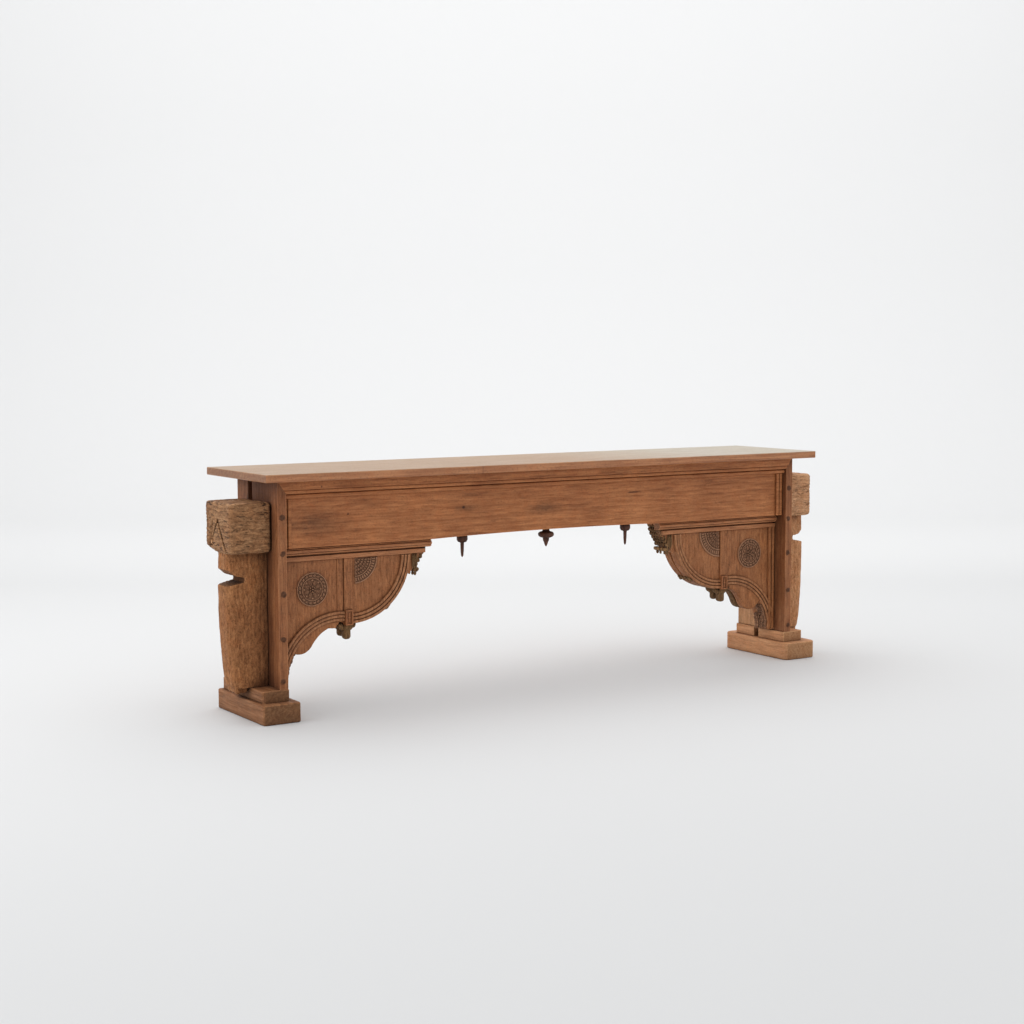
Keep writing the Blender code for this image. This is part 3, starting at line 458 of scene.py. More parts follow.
def drawn_out(bm, outline, low, high, eased=0.0):
    """A flat XZ outline given depth from low to high, with its front edges eased."""
    face = bm.faces.new([bm.verts.new((across, low, up)) for across, up in outline])
    made = bmesh.ops.extrude_face_region(bm, geom=[face])["geom"]
    bmesh.ops.translate(bm, verts=new_verts(made), vec=(0.0, high - low, 0.0))
    if eased:
        bmesh.ops.bevel(bm, geom=list(face.edges), offset=eased, segments=2, profile=0.5,
                        affect="EDGES", material=-1)


def run_along(bm, profile, low, high):
    """A moulding: a profile of depth and height drawn out along X."""
    face = bm.faces.new([bm.verts.new((low, depth, up)) for depth, up in profile])
    made = bmesh.ops.extrude_face_region(bm, geom=[face])["geom"]
    bmesh.ops.translate(bm, verts=new_verts(made), vec=(high - low, 0.0, 0.0))


def swept(bm, profile, centre, start, end, steps):
    """A profile of radius and depth spun round a centre in the XZ plane."""
    first = math.radians(start)
    ring = [bm.verts.new((centre[0] + radius * math.cos(first), depth,
                          centre[1] + radius * math.sin(first))) for radius, depth in profile]
    whole = abs(end - start) >= 360
    face = bm.faces.new(ring)
    geom = ring + list(face.edges)
    if whole:
        bmesh.ops.delete(bm, geom=[face], context="FACES_ONLY")
    else:
        geom.append(face)
    bmesh.ops.spin(bm, geom=geom, cent=(centre[0], 0.0, centre[1]), axis=(0.0, -1.0, 0.0),
                   angle=math.radians(end - start), steps=steps, use_merge=whole)


def block(bm, low, high, eased=0.0, segments=2):
    """A block between two corners with its edges eased."""
    low, high = Vector(low), Vector(high)
    made = bmesh.ops.create_cube(bm, size=1.0)["verts"]
    bmesh.ops.scale(bm, verts=made, vec=high - low)
    bmesh.ops.translate(bm, verts=made, vec=(high + low) / 2)
    if eased:
        edges = list({edge for vert in made for edge in vert.link_edges})
        bmesh.ops.bevel(bm, geom=edges, offset=eased, segments=segments, profile=0.5,
                        affect="EDGES", material=-1)


def lump(bm, centre, size, turned=0.0, around=10, rings=7):
    """A rounded lump with three half sizes, turned about the depth axis, in degrees."""
    shape = (Matrix.Translation(centre) @ Matrix.Rotation(math.radians(-turned), 4, "Y")
             @ Matrix.Diagonal((size[0], size[1], size[2], 1.0)))
    bmesh.ops.create_uvsphere(bm, u_segments=around, v_segments=rings, radius=1.0, matrix=shape)


def cut_off(bm, place, normal):
    """Cuts off what lies beyond a plane and closes the cut."""
    bmesh.ops.bisect_plane(bm, geom=list(bm.verts) + list(bm.edges) + list(bm.faces),
                           plane_co=place, plane_no=normal, clear_outer=True)
    bmesh.ops.holes_fill(bm, edges=[edge for edge in bm.edges if edge.is_boundary], sides=0)


def chisel(bm, amount, size, seed=0.0):
    """Moves a piece's vertices a little, as hand tools leave a surface."""
    for vert in bm.verts:
        vert.co += noise.noise_vector(vert.co / size + Vector((seed, seed, seed))) * amount


def piece(name, bm, wood, side="left", smooth=30):
    """Turns a bmesh into a finished piece of the object, mirrored for the right side."""
    if side == "right":
        bmesh.ops.scale(bm, verts=bm.verts, vec=(-1.0, 1.0, 1.0))
    bmesh.ops.remove_doubles(bm, verts=bm.verts, dist=MERGE)
    bmesh.ops.recalc_face_normals(bm, faces=bm.faces)
    mesh = bpy.data.meshes.new(name)
    bm.to_mesh(mesh)
    bm.free()
    mesh.materials.append(wood)
    mesh.shade_smooth()
    mesh.set_sharp_from_angle(angle=math.radians(smooth))
    item = bpy.data.objects.new(name, mesh)
    bpy.context.scene.collection.objects.link(item)
    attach(item, "root")
    return item


print("helpers ready")

# %% [markdown]
# ## Bracket slab and mouldings
#
# Each bracket was sawn from one plank and carved. Its face carries three rounded fillets that run
# down the scroll and over the arch, a stile with a square block where they cross, and the moulded
# head under the frieze. The slab is drawn from its sawn outline as two layers with a narrow
# sunk one between, which is the dark groove seen along the underside.

# %%
BRACKET_LOW, BRACKET_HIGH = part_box("bracket_left")
JAMB_SIDE = BRACKET_LOW.x
TOP = BRACKET_HIGH.z
BACK = BRACKET_HIGH.y
SLAB_THICK = 0.068
FACE = BACK - SLAB_THICK
TIP_REACH = BRACKET_HIGH.x - JAMB_SIDE
STILE_AT = 0.2255
STILE_END = 0.2535
ARCH_RADIUS = 0.178
SCROLL_RADIUS = 0.211
BAND_WIDTH = 0.0325
TIP_LENGTH = 0.0725
FOOT = TOP - 0.4225
SCROLL = (JAMB_SIDE + STILE_END, TOP - 0.0445)
ARCH = (JAMB_SIDE + 0.2055, FOOT)
CROSSING = SCROLL[1] - SCROLL_RADIUS
MOULDING_LOW = TOP - 0.0271
BAND_TOP = TOP - 0.0311
BAND_LOW = BAND_TOP - 0.0135
JAMB_FILLET_WIDTH = 0.012
JAMB_FILLET_STEP = 0.015
# The sunk layer: how far in from the edge, and its two depths behind the face
GROOVE_SUNK = 0.015
GROOVE_NEAR = 0.0275
GROOVE_FAR = 0.0385
# Layers overlap by the lap, and raised work is let into the face by the bite
LAP = 0.0005
BITE = 0.014
# How far each raised part stands out from the face
SCROLL_PROUD = 0.0080
ARCH_PROUD = 0.0078
MOULDING_PROUD = 0.020
FLAT_BAND_PROUD = 0.011
STILE_PROUD = 0.0065
LOW_FILLET_PROUD = 0.0028
JAMB_FILLET_PROUD = 0.0105
# The head's profile, as depth behind its crest and distance down from its top
HEAD_PROFILE = ((0.0075, 0.0), (0.0055, 0.0006), (0.0050, 0.0020), (0.0072, 0.0028),
                (0.0072, 0.0036), (0.0035, 0.0042), (0.0026, 0.0054), (0.0036, 0.0064),
                (0.0060, 0.0068), (0.0060, 0.0078), (0.0014, 0.0088), (0.0, 0.0118),
                (0.0006, 0.0152), (0.0022, 0.0176), (0.0052, 0.0184), (0.0052, 0.0192),
                (0.0034, 0.0204), (0.0046, 0.0228))


def bracket_outline(sunk):
    """The sawn outline of the bracket, drawn in by a little for the sunk layer."""
    leaf_steps = ((0.08, 0.0), (0.08, 0.0105), (0.23, 0.0205), (0.26, 0.0365), (0.345, 0.0530),
                  (0.55, 0.0590), (0.57, 0.0680), (0.66, 0.0780), (0.72, 0.0880), (0.84, 0.0960),
                  (0.95, 0.1040), (1.014, 0.1120))
    points = [(JAMB_SIDE, TOP)]
    points += [(JAMB_SIDE + TIP_REACH - back * TIP_LENGTH - sunk, TOP - down)
               for back, down in leaf_steps]
    points += arc(SCROLL, SCROLL_RADIUS - sunk, -17, -90, 36)
    points += arc(ARCH, ARCH_RADIUS + sunk, 90, 180, 44)
    points += [(JAMB_SIDE, FOOT)]
    return points


def fillet_profile(inner, proud):
    """Three rounded fillets with deep grooves between, as radius and depth."""
    width = BAND_WIDTH / 3
    profile = [(inner, FACE + BITE)]
    for number, lift in enumerate((0.0, 0.0006, 0.0016)):
        left = inner + number * width
        crest = FACE - proud - lift
        profile += [(left + 0.0007, crest + 0.0050), (left + 0.0013, crest + 0.0018),
                    (left + 0.0034, crest + 0.0003), (left + width * 0.55, crest),
                    (left + width - 0.0030, crest + 0.0006), (left + width - 0.0012, crest + 0.0022)]
    profile += [(inner + BAND_WIDTH - 0.0004, FACE - 0.001), (inner + BAND_WIDTH, FACE + BITE)]
    return profile


def moulded_head(bm):
    """The moulding under the frieze, with two fine beads at its top, and the flat band."""
    crest = FACE - MOULDING_PROUD
    top = TOP - 0.0006
    low = MOULDING_LOW
    profile = [(FACE + BITE, top)]
    profile += [(crest + back, top - down) for back, down in HEAD_PROFILE]
    profile += [(crest + 0.0100, low + 0.0012), (crest + 0.0140, low), (FACE + BITE, low)]
    run_along(bm, profile, JAMB_SIDE + 0.0006, JAMB_SIDE + TIP_REACH - 0.0006)
    block(bm, (JAMB_SIDE + 0.0008, FACE - FLAT_BAND_PROUD, BAND_LOW),
          (JAMB_SIDE + TIP_REACH - TIP_LENGTH * 0.27, FACE + BITE, BAND_TOP), eased=0.0014)


def make_bracket_body(side):
    """The slab of one bracket, its scroll, arch and head, and the stile with the fillets."""
    bm = bmesh.new()
    drawn_out(bm, bracket_outline(0.0), FACE, FACE + GROOVE_NEAR, eased=0.0014)
    drawn_out(bm, bracket_outline(GROOVE_SUNK), FACE + GROOVE_NEAR - LAP, FACE + GROOVE_FAR + LAP)
    drawn_out(bm, bracket_outline(0.0010), FACE + GROOVE_FAR, BACK, eased=0.0010)
    body = piece(f"bracket_body_{side}", bm, CARVED_WOOD, side)
    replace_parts(body, f"bracket_{side}")

    bm = bmesh.new()
    swept(bm, fillet_profile(SCROLL_RADIUS - 0.0008 - BAND_WIDTH, SCROLL_PROUD), SCROLL, -90, -1, 60)
    piece(f"bracket_scroll_{side}", bm, RIDGE_WOOD, side)
    bm = bmesh.new()
    swept(bm, fillet_profile(ARCH_RADIUS + 0.0008, ARCH_PROUD), ARCH, 84, 180, 60)
    cut_off(bm, (JAMB_SIDE + 0.0012, 0.0, 0.0), (-1.0, 0.0, 0.0))
    piece(f"bracket_arch_{side}", bm, RIDGE_WOOD, side)
    bm = bmesh.new()
    moulded_head(bm)
    piece(f"bracket_head_{side}", bm, MOULDED_WOOD, side)

    # Stile, the low fillet beside it, and the two fillets along the jamb
    bm = bmesh.new()
    high = BAND_LOW + 0.003
    block(bm, (JAMB_SIDE + STILE_AT, FACE - STILE_PROUD, CROSSING + 0.030),
          (JAMB_SIDE + STILE_END, FACE + BITE, high), eased=0.0012)
    block(bm, (JAMB_SIDE + STILE_AT - 0.0225, FACE - LOW_FILLET_PROUD, CROSSING + 0.038),
          (JAMB_SIDE + STILE_AT - 0.0022, FACE + BITE, high), eased=0.0009)
    for number in range(2):
        left = JAMB_SIDE + 0.0012 + number * JAMB_FILLET_STEP
        block(bm, (left, FACE - JAMB_FILLET_PROUD, FOOT + 0.001),
              (left + JAMB_FILLET_WIDTH, FACE + BITE, high), eased=0.003)
    piece(f"bracket_stile_{side}", bm, CARVED_WOOD, side)


for end in SIDES:
    make_bracket_body(end)
print("bracket slabs and mouldings made")

# %% [markdown]
# ## Carving on the brackets
#
# The carver worked a round medallion in the panel beside the jamb and a quarter rosette in the
# corner of the scroll. Both hold old dark wax, so they look much darker than the panels. The block
# at the crossing is cut with a sunk frame, and leaf curls hang under it, under the arch and at
# the tip.

# %%
MEDALLION = (JAMB_SIDE + 0.116, TOP - 0.1355)
MEDALLION_RADIUS = 0.054
ROSETTE_RADIUS = {"left": 0.081, "right": 0.092}
ROSETTE_GAP = {"left": 0.012, "right": 0.003}
CUSP_DROP = {"left": 0.078, "right": 0.083}
# Where the cusp starts, turns and ends, from the jamb
CUSP_PLACES = {"left": (0.1725, 0.112, 0.0525), "right": (0.190, 0.145, 0.092)}
BLOCK_HEIGHT = 0.0465
BLOCK_PROUD = 0.0118
FRAME_PROUD = 0.0150
FRAME_BAR = 0.005
CROSS_PROUD = 0.0142
CROSS_HALF_WIDTH = 0.0018
# The ground that the frame and the cross are let into
GROUND_PROUD = 0.010
# Each hanging lobe's near and far depth, and how far it hangs
LOBES = ((-0.0030, 0.0270, 0.0490), (0.0350, 0.0620, 0.0440))
# Each leaf's share of the tip's length, how far down it is, and its size
TIP_LEAVES = ((0.20, 0.016, 0.0060), (0.25, 0.030, 0.0070), (0.33, 0.044, 0.0070),
              (0.45, 0.056, 0.0070), (0.56, 0.068, 0.0065), (0.64, 0.082, 0.0065))
# Depths of leaves and curls, as shares of the slab's thickness
LEAF_DEPTHS = (0.06, 0.24, 0.42, 0.62, 0.80, 0.94)
CURL_DEPTHS = (0.06, 0.30, 0.62, 0.88)


def half_round(radius, width, lift):
    """The profile of a rounded ring: its radius, width and height above the slab."""
    return [(radius - width / 2, FACE + BITE), (radius - width / 2 + 0.0004, FACE - lift * 0.55),
            (radius - width * 0.2, FACE - lift), (radius + width * 0.2, FACE - lift),
            (radius + width / 2 - 0.0004, FACE - lift * 0.55), (radius + width / 2, FACE + BITE)]


def ring_of(bm, centre, radius, count, size, lift, start=0.0, end=360.0, lean=0.0):
    """Lumps set round an arc, each with its length, depth and width, leaning from the radius."""
    for number in range(count):
        angle = start + (end - start) * (number + 0.5) / count
        turned = math.radians(angle)
        place = (centre[0] + radius * math.cos(turned), FACE - lift,
                 centre[1] + radius * math.sin(turned))
        lump(bm, place, size, angle + lean, 8, 6)


def disc_profile(size):
    """The profile of the low disc that petals and rings stand on."""
    return [(0.001, FACE + BITE), (0.001, FACE - 0.0012), (size - 0.001, FACE - 0.0012),
            (size, FACE + BITE)]


def make_medallion(side):
    """The round medallion: two rings, a twisted rope between, and petals round a boss."""
    bm = bmesh.new()
    size = MEDALLION_RADIUS
    swept(bm, disc_profile(size), MEDALLION, 0, 360, 48)
    swept(bm, half_round(size * 0.955, size * 0.085, 0.0055), MEDALLION, 0, 360, 64)
    swept(bm, half_round(size * 0.655, size * 0.06, 0.0052), MEDALLION, 0, 360, 48)
    ring_of(bm, MEDALLION, size * 0.805, 20, (0.0046, 0.0048, 0.0058), 0.0012, lean=28)
    ring_of(bm, MEDALLION, size * 0.38, 8, (size * 0.17, 0.0062, size * 0.11), 0.0010)
    ring_of(bm, MEDALLION, size * 0.53, 8, (size * 0.07, 0.0046, size * 0.075), 0.0010, 22.5, 382.5)
    ring_of(bm, MEDALLION, size * 0.15, 6, (size * 0.065, 0.0068, size * 0.065), 0.0014)
    lump(bm, (MEDALLION[0], FACE - 0.002, MEDALLION[1]), (size * 0.075, 0.0072, size * 0.075))
    chisel(bm, 0.0004, 0.008)
    piece(f"bracket_medallion_{side}", bm, CARVED_DARK, side, smooth=50)


def make_rosette(side):
    """The quarter rosette: two rings, darts between, and rows of scales inside."""
    centre = (JAMB_SIDE + STILE_END + ROSETTE_GAP[side], BAND_LOW - 0.004)
    size = ROSETTE_RADIUS[side]
    bm = bmesh.new()
    swept(bm, disc_profile(size), centre, -90, 0, 24)
    swept(bm, half_round(size * 0.955, size * 0.07, 0.0050), centre, -90, 0, 24)
    swept(bm, half_round(size * 0.70, size * 0.05, 0.0052), centre, -90, 0, 24)
    ring_of(bm, centre, size * 0.825, 13, (size * 0.085, 0.0045, size * 0.042), 0.0010, -90, 0)
    for share, count in ((0.60, 9), (0.46, 7), (0.32, 5), (0.18, 3)):
        ring_of(bm, centre, size * share, count, (size * 0.055, 0.0054, size * 0.048), 0.0012,
                -90, 0)
    chisel(bm, 0.0004, 0.008, 3.0)
    piece(f"bracket_rosette_{side}", bm, CARVED_DARK, side, smooth=50)


def make_block_and_drop(side):
    """The square block where stile and scroll cross, and the leaves that hang under it."""
    bm = bmesh.new()
    left, right = JAMB_SIDE + STILE_AT + 0.0008, JAMB_SIDE + STILE_END - 0.0008
    low, high = CROSSING - 0.002, CROSSING + BLOCK_HEIGHT
    block(bm, (left, FACE - BLOCK_PROUD, low), (right, FACE + 0.020, high), eased=0.0015)
    # Raised frame and a small cross stand on the block, so the ground between them is sunk
    ground = FACE - GROUND_PROUD
    frame_bars = (((left, low), (right, low + FRAME_BAR)), ((left, high - FRAME_BAR), (right, high)),
                  ((left, low), (left + FRAME_BAR, high)), ((right - FRAME_BAR, low), (right, high)))
    for start, end in frame_bars:
        block(bm, (start[0], FACE - FRAME_PROUD, start[1]), (end[0], ground, end[1]), eased=0.0010)
    middle = ((left + right) / 2, (low + high) / 2)
    block(bm, (middle[0] - CROSS_HALF_WIDTH, FACE - CROSS_PROUD, low + 0.009),
          (middle[0] + CROSS_HALF_WIDTH, ground, high - 0.009), eased=0.0008)
    block(bm, (left + 0.008, FACE - CROSS_PROUD, middle[1] - CROSS_HALF_WIDTH),
          (right - 0.008, ground, middle[1] + CROSS_HALF_WIDTH), eased=0.0008)
    chisel(bm, 0.0003, 0.01)
    piece(f"bracket_block_{side}", bm, FINE_WOOD, side)

    # Hanging leaf lobes under the block, through the whole thickness
    bm = bmesh.new()
    middle = (left + right) / 2
    block(bm, (left + 0.001, FACE - 0.008, CROSSING - 0.016),
          (right - 0.001, BACK - 0.004, CROSSING + 0.008), eased=0.005, segments=3)
    for near, far, reach in LOBES:
        block(bm, (left + 0.0012, FACE + near, CROSSING - reach),
              (right - 0.0012, FACE + far, CROSSING + 0.004), eased=0.0095, segments=5)
        for way in (-1, 1):
            for step, size in enumerate((0.0105, 0.0080)):
                place = (middle + way * (0.0165 + 0.0095 * step), FACE + (near + far) / 2,
                         CROSSING - 0.0085 + 0.0035 * step)
                lump(bm, place, (size * 0.75, 0.0115, size * 1.3), -20 * way, 12, 9)
    chisel(bm, 0.0010, 0.010)
    piece(f"bracket_drop_{side}", bm, LEAF_WOOD, side, smooth=60)


def bow(start, end, rise, steps):
    """Points of a shallow curve between two points that rises to the left of their line."""
    along = Vector(end) - Vector(start)
    across = Vector((-along.y, along.x)).normalized()
    points = []
    for step in range(steps + 1):
        share = step / steps
        point = Vector(start) + along * share + across * (4 * rise * share * (1 - share))
        points.append((point.x, point.y))
    return points


def cusp_layer(bm, side, near, far, lift, eased):
    """One layer of the leaf under the arch, drawn in by its lift."""
    low = CROSSING - CUSP_DROP[side]
    root, middle, point = (JAMB_SIDE + at for at in CUSP_PLACES[side])
    outwards = (Vector((point, low)) - Vector(ARCH)).normalized()
    buried = Vector(ARCH) + outwards * (ARCH_RADIUS + 0.010)
    outline = [(JAMB_SIDE + 0.215, CROSSING + 0.014), (JAMB_SIDE + 0.196, CROSSING - 0.010 + lift)]
    outline += bow((root, CROSSING - 0.008 + lift), (middle, low + 0.016 + lift), -0.0065, 12)
    outline += bow((middle, low + 0.016 + lift), (point + lift, low + lift), 0.0105, 14)[1:]
    outline += [(buried.x, buried.y), (JAMB_SIDE + 0.090, CROSSING - 0.008),
                (JAMB_SIDE + 0.150, CROSSING + 0.010)]
    drawn_out(bm, outline, near, far, eased)


def make_cusp(side):
    """The leaf under the arch, cut in two layers with the dark groove between, as the slab is."""
    bm = bmesh.new()
    cusp_layer(bm, side, FACE - 0.003, FACE + GROOVE_NEAR, 0.0, 0.005)
    cusp_layer(bm, side, FACE + GROOVE_NEAR - LAP, FACE + GROOVE_FAR + LAP, GROOVE_SUNK, 0.0)
    chisel(bm, 0.0006, 0.015)
    piece(f"bracket_cusp_{side}", bm, CARVED_WOOD, side, smooth=60)
    bm = bmesh.new()
    cusp_layer(bm, side, FACE + GROOVE_FAR, BACK - 0.001, 0.001, 0.004)
    chisel(bm, 0.0010, 0.010)
    piece(f"bracket_cusp_leaf_{side}", bm, LEAF_WOOD, side, smooth=60)


def leaf_run(bm, centre, radius, start, end, count, depths, size, rng):
    """Curled leaf tips set along an arc of the underside, through the slab's thickness."""
    for number in range(count):
        angle = start + (end - start) * (number + 0.5) / count
        turned = math.radians(angle)
        for depth in depths:
            reach = radius + rng.uniform(-0.001, 0.001)
            grown = size * rng.uniform(0.8, 1.15)
            depth += rng.uniform(-0.02, 0.02)
            place = (centre[0] + reach * math.cos(turned), FACE + SLAB_THICK * depth,
                     centre[1] + reach * math.sin(turned))
            lump(bm, place, (grown * 0.75, grown * 0.85, grown * 1.25), angle, 10, 7)


def make_tip_leaves(side):
    """The leaves at the tip of the head, and those at the foot of the arch."""
    tip = JAMB_SIDE + TIP_REACH
    rng = random.Random(11)
    bm = bmesh.new()
    # Fluted leaf strip beside the scroll, on the face
    strip_right = tip - TIP_LENGTH * 0.62
    for number in range(3):
        across = strip_right - 0.0205 + 0.0068 * (number + 0.5)
        lump(bm, (across, FACE - 0.0005, BAND_LOW - 0.026), (0.0034, 0.0062, 0.0265), 0, 10, 12)
    # Carved leaves down the stepped end of the head
    for back, down, size in TIP_LEAVES:
        for depth in LEAF_DEPTHS:
            grown = size * rng.uniform(0.8, 1.1)
            lump(bm, (tip - back * TIP_LENGTH, FACE + SLAB_THICK * depth, TOP - down),
                 (grown, 0.0062, grown * 1.25), rng.uniform(-30, 30), 10, 8)
    # Curl at the lower end of the tip, with its drop
    for depth in CURL_DEPTHS:
        y = FACE + SLAB_THICK * depth
        lump(bm, (tip - 0.66 * TIP_LENGTH, y, TOP - 0.1000), (0.0105, 0.0085, 0.0080), 15, 12, 9)
        lump(bm, (tip - 0.56 * TIP_LENGTH, y + 0.002, TOP - 0.0985), (0.0050, 0.0060, 0.0060), 0,
             10, 7)
        lump(bm, (tip - 0.70 * TIP_LENGTH, y, TOP - 0.1120), (0.0045, 0.0050, 0.0065), 0, 10, 7)
    leaf_run(bm, SCROLL, SCROLL_RADIUS + 0.0015, -54, -49, 2, (0.08, 0.30, 0.62, 0.88), 0.0070,
             rng)
    chisel(bm, 0.0010, 0.007)
    piece(f"bracket_tip_{side}", bm, LEAF_WOOD, side, smooth=60)

    # Dense leafwork on the underside at the foot of the arch
    bm = bmesh.new()
    leaf_run(bm, ARCH, ARCH_RADIUS - 0.0015, 148, 180, 8, (0.06, 0.20, 0.34, 0.48), 0.0062, rng)
    leaf_run(bm, ARCH, ARCH_RADIUS - 0.0040, 162, 180, 5, (0.64, 0.80), 0.0075, rng)
    chisel(bm, 0.0012, 0.007)
    piece(f"bracket_leafwork_{side}", bm, CARVED_DARK, side, smooth=60)


for end in SIDES:
    make_medallion(end)
    make_rosette(end)
    make_block_and_drop(end)
    make_cusp(end)
    make_tip_leaves(end)
print("bracket carving made")

# %% [markdown]
# ## Corbels
#
# The corbels were hewn with an adze and have weathered outdoors: the head shows level tool marks
# and the body has opened along its grain. The merged CAD shape is remeshed evenly, and its surface
# is then moved by layers of noise, level on the head and upright on the body. A hollow that widens
# downwards is cut into the outer side of the head.

# %%
CORBEL_GRAIN = 0.0026
HEAD_HEIGHT = 0.155
HEAD_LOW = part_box("corbel_left")[1].z - HEAD_HEIGHT
NOTCH_TOP = HEAD_LOW + 0.112
NOTCH_HEIGHT = 0.100
NOTCH_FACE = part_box("corbel_right")[1].x - 0.030
NOTCH_DEPTH = 0.007
# The hollow's start in depth, how far it leans, its half width and how much that grows
NOTCH_START = 0.008
NOTCH_LEAN = 0.030
NOTCH_HALF_WIDTH = 0.003
NOTCH_SPREAD = 0.014
# Depths cut by weather and tools, and the spacing of the tool marks
CHIP_DEPTH = 0.0018
MARK_SPACING = 0.0125
MARK_WANDER = 0.008
MARK_DEPTH = 0.0021
SCRATCH_DEPTH = 0.0014
GRAIN_DEPTH = 0.0022
PIT_DEPTH = 0.0010


def merged_copy(cad_name):
    """A closed bmesh of a CAD node, whose triangles are loose in the frame."""
    bm = bmesh.new()
    bm.from_mesh(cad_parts[cad_name].data)
    bmesh.ops.remove_doubles(bm, verts=bm.verts, dist=MERGE)
    return bm


def evenly_meshed(bm, grain):
    """The bmesh again with an even mesh all over."""
    mesh = bpy.data.meshes.new("working")
    bm.to_mesh(mesh)
    bm.free()
    item = bpy.data.objects.new("working", mesh)
    bpy.context.scene.collection.objects.link(item)
    even = item.modifiers.new("even", "REMESH")
    even.mode = "VOXEL"
    even.voxel_size = grain
    result = bmesh.new()
    result.from_object(item, bpy.context.evaluated_depsgraph_get())
    bpy.data.objects.remove(item)
    return result


def notch_depth(place):
    """The hollow that runs down the outer side of the head, and widens on its way."""
    fall = (NOTCH_TOP - place.z) / NOTCH_HEIGHT
    if abs(place.x) < NOTCH_FACE or not 0.0 < fall < 1.0:
        return 0.0
    half_width = NOTCH_HALF_WIDTH + NOTCH_SPREAD * fall
    share = 1.0 - abs(place.y - NOTCH_START - NOTCH_LEAN * fall) / half_width
    return NOTCH_DEPTH * min(1.0, max(0.0, 2.0 * share)) * min(1.0, 4.0 * fall)


def rough(place, across, up):
    """Noise at a place, with how many times it changes in a metre across and up."""
    return noise.noise(Vector((place.x * across, place.y * across, place.z * up)))


def hewn_depth(place):
    """How far the corbel's surface is cut back at a place, in metres."""
    chips = max(0.0, rough(place, 34, 22))
    if place.z > HEAD_LOW:
        wander = rough(place, 12, 16) * MARK_WANDER
        marks = abs(math.sin((place.z + wander) / MARK_SPACING * math.pi)) ** 0.5
        broken = 0.35 + max(0.0, rough(place, 45, 60) + 0.35)
        depth = MARK_DEPTH * (1.0 - marks) * broken
        depth += SCRATCH_DEPTH * max(0.0, rough(place, 70, 160))
    else:
        depth = GRAIN_DEPTH * max(0.0, rough(place, 110, 12) - 0.05)
        depth += PIT_DEPTH * max(0.0, rough(place, 160, 90))
    return depth + CHIP_DEPTH * chips + notch_depth(place)


def make_corbel(side):
    """One corbel, hewn from the CAD shape, with its head and body in their own woods."""
    bm = evenly_meshed(merged_copy(f"corbel_{side}"), CORBEL_GRAIN)
    bm.normal_update()
    cuts = [vert.normal * -hewn_depth(vert.co) for vert in bm.verts]
    for vert, cut in zip(bm.verts, cuts):
        vert.co += cut
    corbel = piece(f"corbel_hewn_{side}", bm, BODY_WOOD[side], smooth=70)
    corbel.data.materials.append(HEAD_WOOD[side])
    for face in corbel.data.polygons:
        if face.center.z > HEAD_LOW - 0.001:
            face.material_index = 1
    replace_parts(corbel, f"corbel_{side}")
    print(f"corbel_{side}:", len(corbel.data.polygons), "faces")


for end in SIDES:
    make_corbel(end)

# %% [markdown]
# ## Turned drops
#
# Three small drops hang under the frieze. They were turned on a lathe, so a profile is spun
# whole round its own axis, with the beads and quirks that the tool leaves.

# %%
# Each profile as radius and distance down from the frieze
CAP_PROFILE = ((0.0, 0.0), (0.0150, 0.0), (0.0150, 0.0025), (0.0178, 0.0042), (0.0180, 0.0065),
               (0.0180, 0.0160), (0.0166, 0.0186), (0.0148, 0.0196), (0.0154, 0.0214),
               (0.0125, 0.0234), (0.0078, 0.0246), (0.0064, 0.0262), (0.0060, 0.0300),
               (0.0055, 0.0500), (0.0040, 0.0680), (0.0015, 0.0725), (0.0, 0.0730))
OGEE_PROFILE = ((0.0, 0.0), (0.0130, 0.0), (0.0114, 0.0040), (0.0118, 0.0080), (0.0140, 0.0104),
                (0.0225, 0.0130), (0.0262, 0.0165), (0.0270, 0.0205), (0.0262, 0.0250),
                (0.0225, 0.0290), (0.0150, 0.0318), (0.0104, 0.0334), (0.0110, 0.0360),
                (0.0098, 0.0420), (0.0070, 0.0480), (0.0050, 0.0550), (0.0020, 0.0612),
                (0.0, 0.0625))


def make_finial(place, profile):
    """One turned drop, spun round its own axis from the middle of the CAD one's top."""
    low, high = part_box(f"finial_{place}")
    centre = Vector(((low.x + high.x) / 2, (low.y + high.y) / 2, high.z))
    bm = bmesh.new()
    points = [bm.verts.new(centre + Vector((radius, 0.0, -down))) for radius, down in profile]
    edges = [bm.edges.new(pair) for pair in zip(points, points[1:])]
    bmesh.ops.spin(bm, geom=points + edges, cent=centre, axis=(0.0, 0.0, 1.0), angle=math.tau,
                   steps=32, use_merge=True)
    drop = piece(f"finial_turned_{place}", bm, TURNED_WOOD, smooth=40)
    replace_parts(drop, f"finial_{place}")


make_finial("left", CAP_PROFILE)
make_finial("right", CAP_PROFILE)
make_finial("middle", OGEE_PROFILE)
print("drops made")

# %% [markdown]
# ## Pegs
#
# Dark wooden pegs hold the jambs to the brackets. They have shrunk and stand a little proud of
# the jamb's front, so each is a short lump sunk in it.

# %%
PEG_HEIGHTS = (0.625, 0.514, 0.390, 0.252, 0.123)


def make_pegs(side):
    """The pegs of one jamb, each a little uneven in place and size."""
    low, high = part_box("jamb_left")
    rng = random.Random(5)
    bm = bmesh.new()
    for height in PEG_HEIGHTS:
        place = ((low.x + high.x) / 2 + rng.uniform(-0.003, 0.003), low.y + 0.0005, height)
        size = (rng.uniform(0.0085, 0.0105), 0.0030, rng.uniform(0.0085, 0.0110))
        lump(bm, place, size, rng.uniform(0, 90), 14, 9)
    chisel(bm, 0.0016, 0.007, 7.0)
    piece(f"jamb_pegs_{side}", bm, PEG_WOOD, side, smooth=50)


for end in SIDES:
    make_pegs(end)
print(len(PEG_HEIGHTS), "pegs on each jamb")

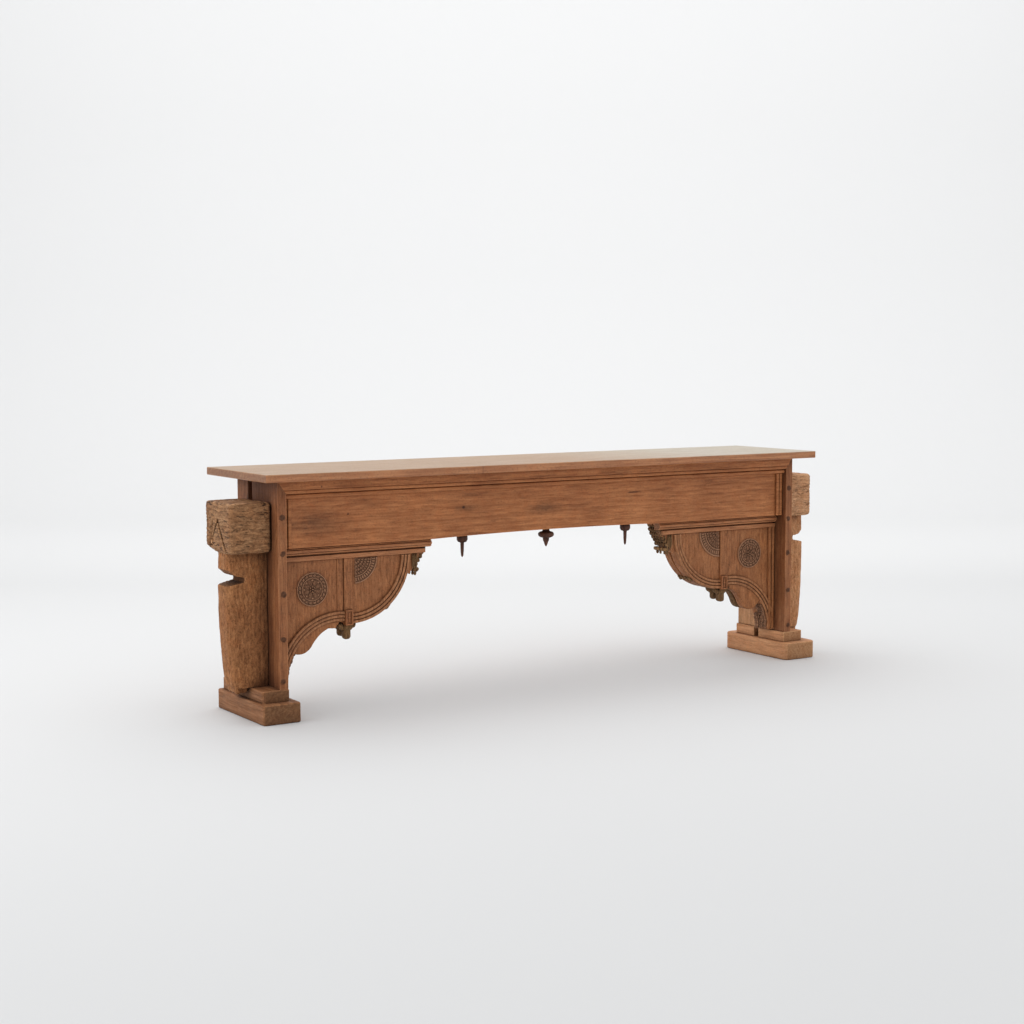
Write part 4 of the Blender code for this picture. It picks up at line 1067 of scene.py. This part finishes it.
# %% [markdown]
# ## Front rail and moulding
#
# The rail under the top was run with a moulding plane: a bead stands along its lower edge behind
# a thin quirk. Below it a small rounded moulding leads back to the frieze. Both are profiles
# drawn out along the table, and the rail is then cut off along its mitres.

# %%
BEAD_HEIGHT = 0.0110
# The moulding's profile, as depth behind its crest and height over its foot
SMALL_PROFILE = ((0.0050, 0.0), (0.0032, 0.0008), (0.0010, 0.0034), (0.0002, 0.0060), (0.0, 0.0082),
                 (0.0006, 0.0102), (0.0026, 0.0120), (0.0050, 0.0127), (0.0072, 0.0132))


def make_rail():
    """The front rail with its bead, cut off at both ends along the mitres."""
    low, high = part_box("front_rail")
    face, back, bead = low.y, high.y, low.z + BEAD_HEIGHT
    profile = [(back, high.z), (back, low.z), (face + 0.0030, low.z),
               (face + 0.0010, low.z + 0.0012), (face + 0.0002, low.z + 0.0035),
               (face, low.z + 0.0060), (face + 0.0006, bead - 0.0022),
               (face + 0.0028, bead - 0.0009), (face + 0.0028, bead + 0.0004),
               (face + 0.0004, bead + 0.0010), (face, bead + 0.0030), (face, high.z)]
    bm = bmesh.new()
    run_along(bm, profile, low.x, high.x)
    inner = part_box("frieze")[1].x
    for way in (-1, 1):
        normal = Vector((way * (high.z - low.z), 0.0, inner - high.x))
        cut_off(bm, (way * inner, 0.0, low.z), normal)
    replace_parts(piece("front_rail_beaded", bm, FRONT_WOOD), "front_rail")


def make_moulding():
    """The small rounded moulding under the rail."""
    low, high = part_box("upper_moulding")
    crest, back, base = low.y, high.y, low.z
    profile = [(back, base)] + [(crest + inward, base + up) for inward, up in SMALL_PROFILE]
    profile += [(crest + 0.0072, high.z), (back, high.z)]
    bm = bmesh.new()
    run_along(bm, profile, low.x, high.x)
    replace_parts(piece("upper_moulding_run", bm, FRONT_WOOD), "upper_moulding")


make_rail()
make_moulding()
print("rail and moulding run, bead", BEAD_HEIGHT, "m high")

# %% [markdown]
# ## Mitres
#
# The front rail is mitred into the jambs. The joints have opened a little, and the shade inside
# each is painted as a hair-thin dark bar let into the face along the mitre.

# %%
MITRE_WIDTH = 0.0012
MITRE_DEPTH = 0.003


def make_mitre_shade(side):
    """The painted shade in one opened mitre, from the jamb's outer top corner to the rail's lower edge.
    """
    low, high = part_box("jamb_left")
    rail_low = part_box("front_rail")[0].z
    start, end = Vector((low.x, 0.0, high.z)), Vector((high.x, 0.0, rail_low))
    along = end - start
    bm = bmesh.new()
    made = bmesh.ops.create_cube(bm, size=1.0)["verts"]
    bmesh.ops.scale(bm, verts=made, vec=(along.length, MITRE_DEPTH, MITRE_WIDTH))
    bmesh.ops.rotate(bm, verts=made, cent=(0.0, 0.0, 0.0),
                     matrix=Matrix.Rotation(math.atan2(-along.z, along.x), 3, "Y"))
    bmesh.ops.translate(bm, verts=made, vec=(start + end) / 2 + Vector((0.0, low.y + 0.0012, 0.0)))
    piece(f"mitre_{side}", bm, PEG_WOOD, side)


# Each opened mitre gets its bar of painted shade
for end in SIDES:
    make_mitre_shade(end)
print("mitres filled")
